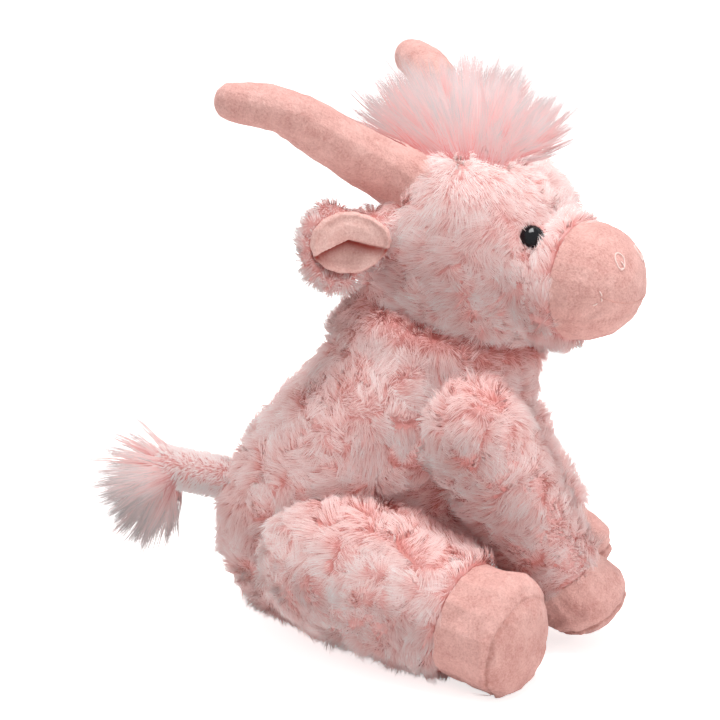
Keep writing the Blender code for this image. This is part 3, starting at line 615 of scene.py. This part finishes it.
def growPile(name, skin, body, look, seed, keep=None, neighbours=None, longer=None):
    # Strands all over a fluffed skin: each leans with its tuft, and neighbours gather into fine locks.
    rng = np.random.default_rng(seed)
    corners, weights = skin.scatter(int(skin.areas.sum() / mm ** 2 * look["perSquare"]), rng)
    if keep is not None:
        kept = keep((skin.places[corners] * weights[..., None]).sum(1))
        corners, weights = corners[kept], weights[kept]

    def at(values):
        return (values[corners] * (weights if values.ndim == 1 else weights[..., None])).sum(1)

    roots, normals, calm = at(skin.places), unit(at(skin.normals)), unit(at(skin.calm))
    crest, paintedShade, even = at(skin.crest), at(skin.paintedShade), at(skin.even)
    loose = 1 - look["calmed"] * even
    count = len(roots)
    tuft, border, away = skin.tuftOf(roots)
    lean = skin.leaning[tuft] + away * look["fan"]
    turned = wander(roots, 12 * mm, seed + 3) * look["swirl"] + wander(roots, 4 * mm, seed + 4) * look["ruffle"]
    lean = tangent(lean + turned * loose[:, None], normals)
    amount = np.linalg.norm(lean, axis=1)
    lying = np.clip(amount, look["leastLean"] + (look["mostLean"] - look["leastLean"]) * even, look["mostLean"])
    lean *= (lying / np.maximum(amount, 1e-9))[:, None]
    lift = np.sqrt(1 - lying ** 2)
    uneven = 1 + look["uneven"] * rng.uniform(-1, 1, count)
    lengths = look["length"] * (0.8 + look["dome"] * np.clip(border, 0, 0.6)) * uneven
    if longer is not None:
        lengths *= longer(roots)
    if neighbours is not None:
        lengths = np.minimum(lengths, np.maximum(nearest(roots, neighbours) * 1.3, look["least"]))
    tips = roots + (normals * lift[:, None] + lean) * lengths[:, None]
    lock = rng.choice(count, max(count // look["perLock"], 1), replace=False)
    lockTree = pointTree(roots[lock])
    mine = lock[[lockTree.find(place)[1] for place in roots]]
    tips += (tips[mine] - tips) * look["gather"] * (loose * rng.uniform(0.3, 1.0, count))[:, None]
    tips += rng.normal(0, look["stray"], (count, 3)) * lengths[:, None]
    curl = tangent(wander(roots, 6 * mm, seed + 6), normals) * (lengths * look["curl"])[:, None]
    bends = roots + normals * (lengths * look["bend"] * lift)[:, None] + lean * (lengths * 0.3)[:, None] + curl
    tones = 0.5 + rng.normal(0, look["ownTone"], count) + rng.normal(0, look["lockTone"], count)[mine]
    tones += look["patchTone"] * wander(roots, 24 * mm, seed + 5)[:, 1]
    # The crest term paints shade: paler on the crests and darker in the partings between tufts.
    tones += look["pale"] + 0.05 * skin.paleness[tuft] + look["partingShade"] * (crest - 0.45) * loose
    # Painted shade: darker where the toy shelters the pile from the light above.
    tones = clamp(tones - look["paintedShadeTone"] * paintedShade + look["evenTone"] * even)
    shades = unit(calm * 0.8 + normals * 0.25 + lean * 0.15 + np.array((0, 0, 0.15)))
    roots = roots - normals * 0.6 * mm  # sunk into the cloth
    for points in (roots, bends, tips):
        points[:, 2] = np.maximum(points[:, 2], 0.4 * mm)  # none passes through the floor
    widths = look["width"] * rng.uniform(0.8, 1.25, count)
    order = np.argsort(roots[:, 2] + roots[:, 0] * 0.5, kind="stable")
    growPieces(name, body, look, "plush", order, roots, bends, tips, widths, tones, shades)


plushLook = {
    "finish": "plush", "perSquare": 2.0, "length": 8.2 * mm, "width": 0.38 * mm, "uneven": 0.25, "least": 4.5 * mm,
    "tuft": 10.5 * mm, "mound": 2.2 * mm, "calm": 10, "calmed": 0.8, "rings": (0.0, 0.5), "mostInPiece": 18000,
    "lean": 0.9, "fan": 0.22, "leastLean": 0.7, "mostLean": 0.93, "swirl": 0.45, "ruffle": 0.3, "dome": 0.4,
    "perLock": 18, "gather": 0.42, "stray": 0.05, "bend": 0.85, "curl": 0.22, "pale": 0.04, "ownTone": 0.08,
    "lockTone": 0.09, "patchTone": 0.2, "partingShade": 0.3, "paintedShadeTone": 0.65, "evenTone": 0.2,
}
headLook = dict(plushLook, length=7.6 * mm, tuft=9.5 * mm, mound=2.0 * mm)
legLook = dict(plushLook, length=7.8 * mm, tuft=10 * mm, mound=2.0 * mm)
earLook = dict(plushLook, length=4.8 * mm, tuft=7 * mm, lean=0.35, mound=0.8 * mm, least=1.6 * mm, pale=0.5)
tailLook = dict(
    plushLook, finish="short", perSquare=2.8, length=3.8 * mm, tuft=6 * mm, lean=0.25, fan=0.05, dome=0.1,
    mound=0.4 * mm, least=1.6 * mm, swirl=0.2, gather=0.08, pale=0.7)
collarLook = dict(tailLook, finish="plush", perSquare=0.9)

print("stage: camera and light")
makeCamera()
makeLights()
makeFloor()

headMiddle = np.array((0.06, 0, 0.176))
headTurn = math.radians(32)
headForward = np.array((math.cos(headTurn), -math.sin(headTurn), 0))
headRight = np.array((headForward[1], -headForward[0], 0))
upward = np.array((0.0, 0.0, 1.0))


def fromHead(forward, right, up):
    return headMiddle + headForward * forward + headRight * right + upward * up


def bothSides(forward, right, up):
    # The same place on the head's left and on its right.
    return [fromHead(forward, -right, up), fromHead(forward, right, up)]


def steady(*direction):
    # A flow that leans every tuft the same way.
    return lambda points: np.tile(direction, (len(points), 1))


def clearOf(bare):
    # Where pile may grow: off the bare velour, the eyes and the ears' linings.
    def clear(points):
        off = (nearest(points, bare) > 0.5 * mm) & (nearest(points, eyeTree) > 1.3 * mm)
        return off & (uncovered(points) > 0)
    return clear


def coat(name, skin, body, look, seed, flow, neighbours=None, bare=None, flat=None, longer=None):
    skin.fluff(look, seed, flow, neighbours, bare, flat)
    skin.dress("cloth", body, "plush", 0.8)
    growPile(name, skin, body, look, seed + 7, clearOf(bare) if bare else None, neighbours, longer)


def near(points, middle, reach):
    # One at a place, fading out round it.
    return np.exp(-((points - middle) ** 2).sum(1) / reach ** 2)


def fullness(points, middles, name):
    amount, reach = full[name]
    return amount * sum(near(points, middle, reach) for middle in middles)


def puffed(skin, look, held):
    # A short simulation of a coarse copy, blown up where it isn't held, whose swelling the skin takes on.
    coarse = Skin(skin.name + "_coarse", skin.nodes, look["voxel"], 2)
    setPlaces(coarse.data, coarse.places)
    grip = coarse.object.vertex_groups.new(name="held")
    for at, share in enumerate(clamp(held(coarse.places))):
        grip.add([at], float(share), "REPLACE")
    cloth = coarse.object.modifiers.new("cloth", "CLOTH")
    cloth.settings.vertex_group_mass = "held"
    cloth.settings.use_pressure = True
    cloth.settings.uniform_pressure_force = look["pressure"]
    cloth.settings.shrink_min = -look["spare"]
    cloth.settings.effector_weights.gravity = 0
    cloth.collision_settings.use_collision = False
    for step in range(look["frames"]):
        bpy.context.scene.frame_set(step + 1)
    graph = bpy.context.evaluated_depsgraph_get()
    blown, _ = arraysOf(coarse.object.evaluated_get(graph).data)
    bpy.context.scene.frame_set(1)
    moved = blown - coarse.places
    size = np.linalg.norm(moved, axis=1)
    moved *= (np.minimum(size, look["most"]) / np.maximum(size, 1e-9))[:, None]
    around, gaps = foundNear(pointTree(coarse.places), skin.places, 6)
    weights = 1 / (gaps + 0.5 * mm) ** 2
    skin.places = skin.places + (moved[around] * weights[..., None]).sum(1) / weights.sum(1)[:, None]
    skin.settle()
    bpy.data.objects.remove(coarse.object)


def creased(skin, amounts, size, seed):
    # Small soft folds in cloth that is pulled tight.
    skin.push(wander(skin.places, size, seed)[:, 0] * amounts)


padLook = {"voxel": 3 * mm, "frames": 20, "pressure": 4, "spare": 0.03, "most": 1.8 * mm}
muzzleLook = dict(
    padLook, seamHeight=-19.5 * mm, seamWidth=0.9 * mm, seamDepth=0.25 * mm, cheek=(0.066, 0.02, -0.012),
    cheekReach=16 * mm, crease=0.35 * mm, creaseSize=4 * mm)
hornLook = dict(
    padLook, most=1.0 * mm, fold=0.55 * mm, foldSize=8 * mm, fine=0.2 * mm, fineSize=3.2 * mm, pinch=1.3 * mm,
    pinchReach=4 * mm)
hoofLook = dict(
    padLook, seamWidth=0.8 * mm, seamDepth=0.9 * mm, pucker=0.5 * mm, puckerReach=4.5 * mm, puckerSize=2.4 * mm,
    fold=0.5 * mm, foldSize=11 * mm, foldFrom=6 * mm, soleShade=0.14)
earFold = {
    "wider": 1.42, "taller": 1.1, "in": 3.8 * mm, "up": 4.2 * mm, "lip": 5.6 * mm, "pocket": 1.5 * mm,
    "peak": 0.04, "outer": 0.5, "inner": 0.26, "edge": 0.07, "forward": 1.6 * mm, "turn": 3.2 * mm,
    "root": 3.4 * mm, "rootAt": 0.5, "rootReach": 0.36,
}


def muzzle():
    # A stuffed dome with a flat seam low on its side.
    skin = Skin("muzzle_velour", ["muzzle_cover"], 0.7 * mm, 12)
    puffed(skin, muzzleLook, lambda points: 1 - nearest(points, headTree) / (4 * mm))
    height = skin.places[:, 2] - headMiddle[2]
    seam = np.exp(-((height - muzzleLook["seamHeight"]) / muzzleLook["seamWidth"]) ** 2)
    skin.push(-muzzleLook["seamDepth"] * seam)
    cheek = near(skin.places, fromHead(*muzzleLook["cheek"]), muzzleLook["cheekReach"])
    creased(skin, muzzleLook["crease"] * cheek, muzzleLook["creaseSize"], 701)
    # Darker along the sunk seam: painted shade in its groove.
    mark(skin.data, "fold", 0.15 * seam)
    return skin.dress("velour", "head", "velour", 0.9)


def horn(side):
    # Stuffed hard: its cloth folds a little, with a pinch in the lower seam near the tip.
    turn = 1 if side == "right" else -1
    skin = Skin(f"horn_velour_{side}", [f"horn_{side}", f"horn_stuffing_{side}"], 0.9 * mm, 12)
    puffed(skin, hornLook, lambda points: 1 - nearest(points, headTree) / (5 * mm))
    creased(skin, hornLook["fold"], hornLook["foldSize"], 702)
    creased(skin, hornLook["fine"], hornLook["fineSize"], 703)
    pinch = near(skin.places, fromHead(-0.068, turn * 0.0655, 0.0575), hornLook["pinchReach"])
    # Darker on the underside and in the pinch: painted shade.
    under = clamp(-skin.normals[:, 2]) ** 3
    skin.push(-hornLook["pinch"] * pinch)
    mark(skin.data, "fold", 0.25 * pinch + 0.12 * under)
    skin.dress("velour", "head", "velour", 0.95)


def hoof(limb, side):
    # A velour cap and its sole, blown up between the ankle and the seam, and puckered along the seam.
    cap, sole = f"{limb}_hoof_{side}", f"{limb}_sole_{side}"
    capTree, soleTree, legTree = treeOf(cap), treeOf(sole), treeOf(f"{limb}_leg_{side}")
    skin = Skin(f"{limb}_hoof_velour_{side}", [cap, sole], 0.75 * mm, 10)

    def seamGap(points):
        return np.maximum(nearest(points, capTree), nearest(points, soleTree))

    gap = seamGap(skin.places)
    ankle = nearest(skin.places, legTree)
    puffed(skin, hoofLook, lambda points: 1 - np.minimum(seamGap(points), nearest(points, legTree)) / (3.5 * mm))
    low, high = skin.places[:, 2].min(), skin.places[:, 2].max()
    lower = np.clip(1.5 - 1.2 * (skin.places[:, 2] - low) / (high - low), 0.35, 1)
    seam = np.exp(-(gap / hoofLook["seamWidth"]) ** 2) * lower
    skin.push(-hoofLook["seamDepth"] * seam)
    creased(skin, hoofLook["pucker"] * np.exp(-(gap / hoofLook["puckerReach"]) ** 2), hoofLook["puckerSize"], 704)
    creased(skin, hoofLook["fold"] * clamp(ankle / hoofLook["foldFrom"]), hoofLook["foldSize"], 705)
    skin.places[:, 2] = np.maximum(skin.places[:, 2], 0.3 * mm)
    skin.settle()
    # Darker along the seam and over the sole: painted shade.
    under = nearest(skin.places, soleTree) < nearest(skin.places, capTree)
    mark(skin.data, "fold", 0.45 * seam * (gap < 2 * mm) + hoofLook["soleShade"] * under)
    skin.dress("velour", f"{limb}_leg_{side}", "velour", 0.85)


def earVelour(side):
    # The lining folds over: its upper half rolls forward into a lip, with a pocket below.
    # Across it, s runs from its outer end to the head and t from its foot to its top.
    lining = Skin(f"ear_velour_{side}", [f"ear_lining_{side}"], 0.6 * mm, 4)
    middle = lining.places.mean(0)
    leaf, _ = arraysOf(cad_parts[f"ear_{side}"].data)
    off = lining.places - middle
    facing = np.linalg.svd(off, full_matrices=False)[2][2]
    facing = facing * (1 if (middle - leaf.mean(0)) @ facing > 0 else -1)
    tall = unit(upward - facing * facing[2])
    inward = np.cross(tall, facing)
    inward = inward * (1 if (headMiddle - middle) @ inward > 0 else -1)
    s, t = off @ inward, off @ tall
    wide, high = np.abs(s).max(), np.abs(t).max()
    moved = s * (earFold["wider"] - 1) + earFold["in"], t * (earFold["taller"] - 1) + earFold["up"]
    lining.places = lining.places + inward * moved[0][:, None] + tall * moved[1][:, None]
    s, t = s / wide, t / high
    front = clamp(lining.normals @ facing) ** 0.5
    fold = earFold["peak"] - np.where(s < 0, -earFold["outer"] * s, earFold["inner"] * s)
    above = clamp((t - fold) / earFold["edge"] + 0.5)
    below = 1 - above
    inside = np.sin(clamp((1 - np.hypot(s, t)) / 0.55) * math.pi / 2)
    rise = clamp((t - fold) / np.maximum(0.95 - fold, 0.3))
    lip = earFold["lip"] * np.sqrt(clamp(1 - ((rise - 0.4) / 0.62) ** 2)) * above
    pocket = earFold["pocket"] * (1 - clamp(s * 1.5)) * np.exp(-(np.maximum(fold - t, 0) / 0.6) ** 2) * below
    raised = (lip - pocket) * inside * front + earFold["forward"] + earFold["turn"] * clamp(s)
    root = earFold["root"] * np.exp(-((s - earFold["rootAt"]) / earFold["rootReach"]) ** 2) * below * inside
    lining.places = lining.places + facing * raised[:, None]
    lining.places = lining.places + facing * root[:, None]
    lining.settle()
    # Darker in the pocket below the lip: painted shade.
    dark = np.exp(-(np.maximum(fold - t, 0) / 0.3) ** 2) * below * front
    mark(lining.data, "fold", clamp(1.1 * dark))
    lining.facing = facing
    return lining.dress("lining", f"ear_{side}", "velour")


print("stage: velour")
headTree = treeOf("head_cover")
skinTree = muzzle().tree()
for side in sides:
    horn(side)
    hoof("front", side)
    hoof("hind", side)

print("stage: coat")
eyeTree = treeOf("eye_left", "eye_right")
earRoots = bothSides(-0.028, 0.0384, 0.0108)
napes = bothSides(-0.042, 0.026, -0.020)
earTops = bothSides(-0.034, 0.056, 0.026)
crowns = bothSides(-0.018, 0.017, 0.05)
brows = bothSides(0.010, 0.0316, 0.038)
shoulders = np.array((0.003, 0, 0.148))
full = {  # how far the skin is raised there, and how far round it
    "ears": (4 * mm, 14 * mm), "leaf": (4 * mm, 11 * mm), "napes": (11 * mm, 17 * mm), "earTops": (6 * mm, 12 * mm),
    "shoulders": (3.5 * mm, 25 * mm), "crown": (0.8, 14 * mm), "brow": (1.3, 21 * mm), "longer": (0.5, 16 * mm),
}
linings = {side: earVelour(side) for side in sides}
liningTrees = [linings[side].tree() for side in sides]


def uncovered(points):
    # Nothing where a place stands in front of an ear's lining, and one elsewhere.
    clear = np.ones(len(points))
    for side, tree in zip(sides, liningTrees):
        for at, place in enumerate(points):
            spot, _, _, gap = tree.find_nearest(Vector(place), 9 * mm)
            if spot is not None and (place - np.array(spot)) @ linings[side].facing > 0.3 * gap:
                clear[at] = 0
    return clear


def liningGap(points):
    return np.minimum(nearest(points, liningTrees[0]), nearest(points, liningTrees[1]))


def offLinings(points):
    # Nothing on or before a lining, rising to one some way behind it, so that no skin comes through.
    return uncovered(points) * clamp(liningGap(points) / (7 * mm) - 0.2)


def fullerByEars(points):
    # Longer round the ears' roots, and short where it would lie over their linings or an eye.
    fuller = (1 + fullness(points, earRoots + napes, "longer")) * np.clip(liningGap(points) / (5 * mm), 0.35, 1)
    return fuller * np.clip(nearest(points, eyeTree) / (4.5 * mm), 0.45, 1)


def browZone(points):
    return clamp(fullness(points, brows, "brow"))


legNodes = [f"{part}_{side}" for part in ("front_leg", "front_hoof", "hind_leg", "hind_hoof") for side in sides]
torso = Skin("torso_skin", ["body_cover", "body_stuffing", "seat_bean_bag"], 1.6 * mm)
torso.push(fullness(torso.places, [shoulders], "shoulders"))
coat("torso_pile", torso, "torso", plushLook, 11, steady(0, 0, -0.25), treeOf("head_cover", "tail_cover", *legNodes))
head = Skin("head_skin", ["head_cover", "head_stuffing"], 1.4 * mm)
head.push(fullness(head.places, earRoots, "ears") * offLinings(head.places))
head.push(fullness(head.places, napes, "napes"))
head.push(4 * mm * clamp(browZone(head.places) + fullness(head.places, crowns, "crown")))
coat("head_pile", head, "head", headLook, 31, steady(*(-0.35 * headForward - 0.1 * upward)), treeOf("body_cover"),
     treeOf("muzzle_cover", "horn_left", "horn_right", "eye_left", "eye_right"), browZone, fullerByEars)
collar = Skin("collar_skin", ["neck_ring"], 0.8 * mm)
coat("collar_pile", collar, "neck", collarLook, 51, None, treeOf("head_cover", "body_cover"))
tail = Skin("tail_skin", ["tail_cover", "tail_stuffing"], 1 * mm)
coat("tail_pile", tail, "tail", tailLook, 61, steady(-0.6, 0, -0.1), treeOf("body_cover"))
for number, side in enumerate(sides):
    seed = 100 + number * 50
    for limb, other, more in (("front", "hind", ()), ("hind", "front", (f"hoof_bean_bag_{side}",))):
        nodes = [f"{limb}_leg_{side}", f"{limb}_stuffing_{side}", *more]
        leg = Skin(f"{limb}_leg_skin_{side}", nodes, 1.3 * mm)
        coat(f"{limb}_leg_pile_{side}", leg, f"{limb}_leg_{side}", legLook, seed, steady(0, 0, -0.1),
             treeOf("body_cover", f"{other}_leg_{side}"), treeOf(f"{limb}_hoof_{side}", f"{limb}_sole_{side}"))
        seed += 10
    ear = Skin(f"ear_skin_{side}", [f"ear_{side}"], 0.7 * mm)
    ear.push(fullness(ear.places, [earRoots[number]], "leaf") * offLinings(ear.places))
    behind = clamp(1 - 1.3 * (ear.normals @ linings[side].facing))
    ear.push(fullness(ear.places, [earTops[number]], "earTops") * behind)
    coat(f"ear_pile_{side}", ear, f"ear_{side}", earLook, seed, None, bare=liningTrees[number], longer=fullerByEars)

print("stage: forelock and tail tuft")


def growLocks(name, body, node, look, roots, headings, lengths, seed):
    # Long straight locks: the strands of one start apart and gather towards its tip.
    rng = np.random.default_rng(seed)
    each = look["each"]
    count = len(roots) * each
    lock = np.repeat(np.arange(len(roots)), each)
    scale = rng.normal(0, 1, (count, 3))
    reach = lengths[lock] * (1 - look["ragged"] * rng.uniform(0, 1, count) ** 2)
    start = roots[lock] + scale * look["rootSpread"]
    tips = roots[lock] + headings[lock] * reach[:, None]
    tips += (scale * look["tipSpread"] + rng.normal(0, look["stray"], (count, 3))) * (reach / lengths.mean())[:, None]
    tips[:, 2] -= look["droop"] * reach
    bow = wander(roots, 8 * mm, seed + 1)[lock] * look["bow"] * reach[:, None]
    bends = (start + tips) / 2 + bow
    bends[:, 2] += look["droop"] * reach * 0.7
    tones = clamp(0.5 + rng.normal(0, 0.16, count) + rng.normal(0, 0.14, len(roots))[lock])
    widths = look["width"] * rng.uniform(0.6, 1.3, count)
    shades = unit(headings[lock] * 0.7 + 0.7 * unit(start - roots.mean(0)) + np.array((0, 0, 0.3)))
    made = growPieces(name, body, look, "long_pile", np.arange(count), start, bends, tips, widths, tones, shades)
    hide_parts(node)


forelockLook = {
    "finish": "long", "locks": 520, "each": 44, "rootSpread": 1.4 * mm, "tipSpread": 0.6 * mm, "stray": 0.45 * mm,
    "ragged": 0.5, "bow": 0.22, "width": 0.42 * mm, "length": 49 * mm, "droop": 0.03, "rings": (0.0, 0.3, 0.65),
    "mostInPiece": 12000, "depth": 0.4, "breadth": 0.3, "fan": 0.9, "sideFan": 0.5, "unruly": 0.22, "groups": 0.16,
    "few": 0.08, "fewLonger": 1.12,
}
tuftLook = dict(
    forelockLook, finish="tuft", locks=190, each=36, rootSpread=1.1 * mm, tipSpread=0.7 * mm, stray=0.6 * mm,
    ragged=0.55, bow=0.15, length=38 * mm, droop=0.06, heading=216, fan=62)
tailEnd = {"at": (-0.0862, 0, 0.0743), "along": (0.978, 0, -0.208)}


def forelock():
    # A strip of long pile along the crown, fanning forward and back.
    look = forelockLook
    rng = np.random.default_rng(400)
    count = look["locks"]
    back, aside = rng.uniform(-1, 1, (2, count))
    strip = headForward * (-0.1 + look["depth"] * back)[:, None]
    ray = unit(upward + strip + headRight * (look["breadth"] * aside)[:, None])
    roots = np.array([headTree.ray_cast(Vector(headMiddle + out * 0.09), Vector(-out))[0] for out in ray])
    angle = -0.06 + back * look["fan"] + rng.normal(0, look["unruly"], count)
    lay = aside * look["sideFan"] + rng.normal(0, look["unruly"], count)
    headings = unit(upward * np.cos(angle)[:, None] + headForward * np.sin(angle)[:, None] + headRight * lay[:, None])
    groups = look["groups"] * wander(roots + headings * 20 * mm, 9 * mm, 402)[:, 0]
    lengths = look["length"] * (0.96 - 0.2 * back + groups) * rng.uniform(0.7, 1.06, count)
    few = rng.uniform(0, 1, count) < look["few"]
    lengths[few] *= look["fewLonger"]
    growLocks("forelock_pile", "head", "forelock", look, roots - ray * mm, headings, lengths, 401)


def tuft():
    # The tail's end: locks that start along the last of the tube, fan back and droop.
    look = tuftLook
    rng = np.random.default_rng(410)
    count = look["locks"]
    fan = rng.normal(0, 0.5, count).clip(-1.35, 1.05) * math.radians(look["fan"])
    angle = math.radians(look["heading"]) + fan
    aside = rng.normal(0, 0.5, count)
    headings = unit(np.stack([np.cos(angle), aside, np.sin(angle)], 1))
    along = np.array(tailEnd["along"]) * rng.uniform(0, 9, count)[:, None] * mm
    outward = tangent(headings, np.tile(tailEnd["along"], (count, 1)))
    roots = np.array(tailEnd["at"]) + along + outward * 6 * mm
    lengths = look["length"] * rng.uniform(0.68, 1.1, count) * (1 - 0.22 * clamp(np.cos(angle) + 0.6))
    growLocks("tuft_pile", "tail", "tail_tuft", look, roots, headings, lengths, 411)


forelock()
tuft()

print("stage: eyes and thread")


def sewn(name, body, finish, runs, radius, node=None):
    # Round threads: each run is a row of points, and whether it closes on itself.
    around, made = threadLook["sides"], bmesh.new()
    turns = [2 * math.pi * corner / around for corner in range(around)]
    for points, closed in runs:
        points = np.array(points)
        if closed:
            ahead = unit(np.roll(points, -1, 0) - np.roll(points, 1, 0))
        else:
            ahead = unit(np.gradient(points, axis=0))
        side = unit(np.cross(ahead, headForward + 0.3 * headRight))
        up = np.cross(ahead, side)
        rings = []
        for at, place in enumerate(points):
            thin = 1 if closed or 0 < at < len(points) - 1 else 0.45
            outs = [side[at] * math.cos(turn) + up[at] * math.sin(turn) for turn in turns]
            rings.append([made.verts.new(place + out * radius * thin) for out in outs])
        pairs = list(zip(rings, rings[1:])) + ([(rings[-1], rings[0])] if closed else [])
        for low, high in pairs:
            for corner in range(around):
                after = (corner + 1) % around
                made.faces.new((low[corner], low[after], high[after], high[corner]))
        if not closed:
            made.faces.new(rings[0][::-1])
            made.faces.new(rings[-1])
    bmesh.ops.recalc_face_normals(made, faces=made.faces)
    data = bpy.data.meshes.new(name)
    made.to_mesh(data)
    made.free()
    data.shade_smooth()
    thread = added(name, data)
    dressed(thread, finish, body)
    if node:
        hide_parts(node)


threadLook = {"radius": 0.38 * mm, "sides": 7, "fine": 0.8}
nostrilLook = {"wide": 2.2 * mm, "high": 3.4 * mm, "tilt": 25, "apart": 9.2 * mm, "up": 0.0057, "innerUp": 0.0045}
mouthLook = {"half": 0.0205, "up": -0.0085, "sag": 0.005, "sunk": 0.02 * mm}
cornerStitches = (  # out from the middle, up, how far each runs outward and up
    (0.0208, -0.0064, 0.8 * mm, 2.6 * mm), (0.0219, -0.0112, 1.6 * mm, -0.8 * mm),
    (0.0203, -0.0092, 0.4 * mm, 1.6 * mm),
)


def onMuzzle(right, up, lift):
    # The place on the muzzle's front, this far to the right and up.
    place, normal, _, _ = skinTree.ray_cast(Vector(fromHead(0.12, right, up)), Vector(-headForward))
    return np.array(place) + np.array(normal) * lift


def stitch(right, up, acrossBy, upBy):
    # One short stitch that dips into the cloth at both ends.
    lifts = (-0.3, 0.2, 0.4, 0.4, 0.2, -0.3)
    spots = np.linspace(-0.5, 0.5, len(lifts))
    return [onMuzzle(right + acrossBy * spot, up + upBy * spot, lift * mm) for spot, lift in zip(spots, lifts)], False


def nostril(side):
    # An oval loop of thread with one stitch inside it.
    look = nostrilLook
    way = 1 if side == "right" else -1
    tilt = math.radians(look["tilt"]) * way
    loop = []
    for turn in np.linspace(0, 2 * math.pi, 28, endpoint=False):
        wide, high = look["wide"] * math.cos(turn), look["high"] * math.sin(turn)
        right = way * look["apart"] + wide * math.cos(tilt) + high * math.sin(-tilt)
        loop.append(onMuzzle(right, look["up"] + wide * math.sin(tilt) + high * math.cos(tilt), 0.15 * mm))
    inner = stitch(way * look["apart"] - way * 0.5 * mm, look["innerUp"], 0.6 * mm * way, 2.6 * mm)
    sewn(f"nostril_thread_{side}", "head", "thread", [(loop, True), inner], threadLook["radius"], f"nostril_{side}")


for side in sides:
    nostril(side)
smile = []
for share in np.linspace(-1, 1, 25):
    sag = mouthLook["sag"] * (1 - share ** 2)
    smile.append(onMuzzle(mouthLook["half"] * share, mouthLook["up"] - sag, -mouthLook["sunk"]))
sewn("mouth_thread", "head", "mouth", [(smile, False)], threadLook["radius"], "mouth_stitch")
corners = [stitch(way * out, up, way * outBy, upBy) for way in (-1, 1) for out, up, outBy, upBy in cornerStitches]
sewn("mouth_corner_stitches", "head", "thread", corners, threadLook["radius"] * threadLook["fine"])

for node in ("eye_left", "eye_right", "eye_washer_left", "eye_washer_right"):
    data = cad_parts[node].data
    data.materials.clear()
    data.materials.append(finishes["eye"])

bpy.context.scene.view_settings.view_transform = "Standard"
print("stage: done")
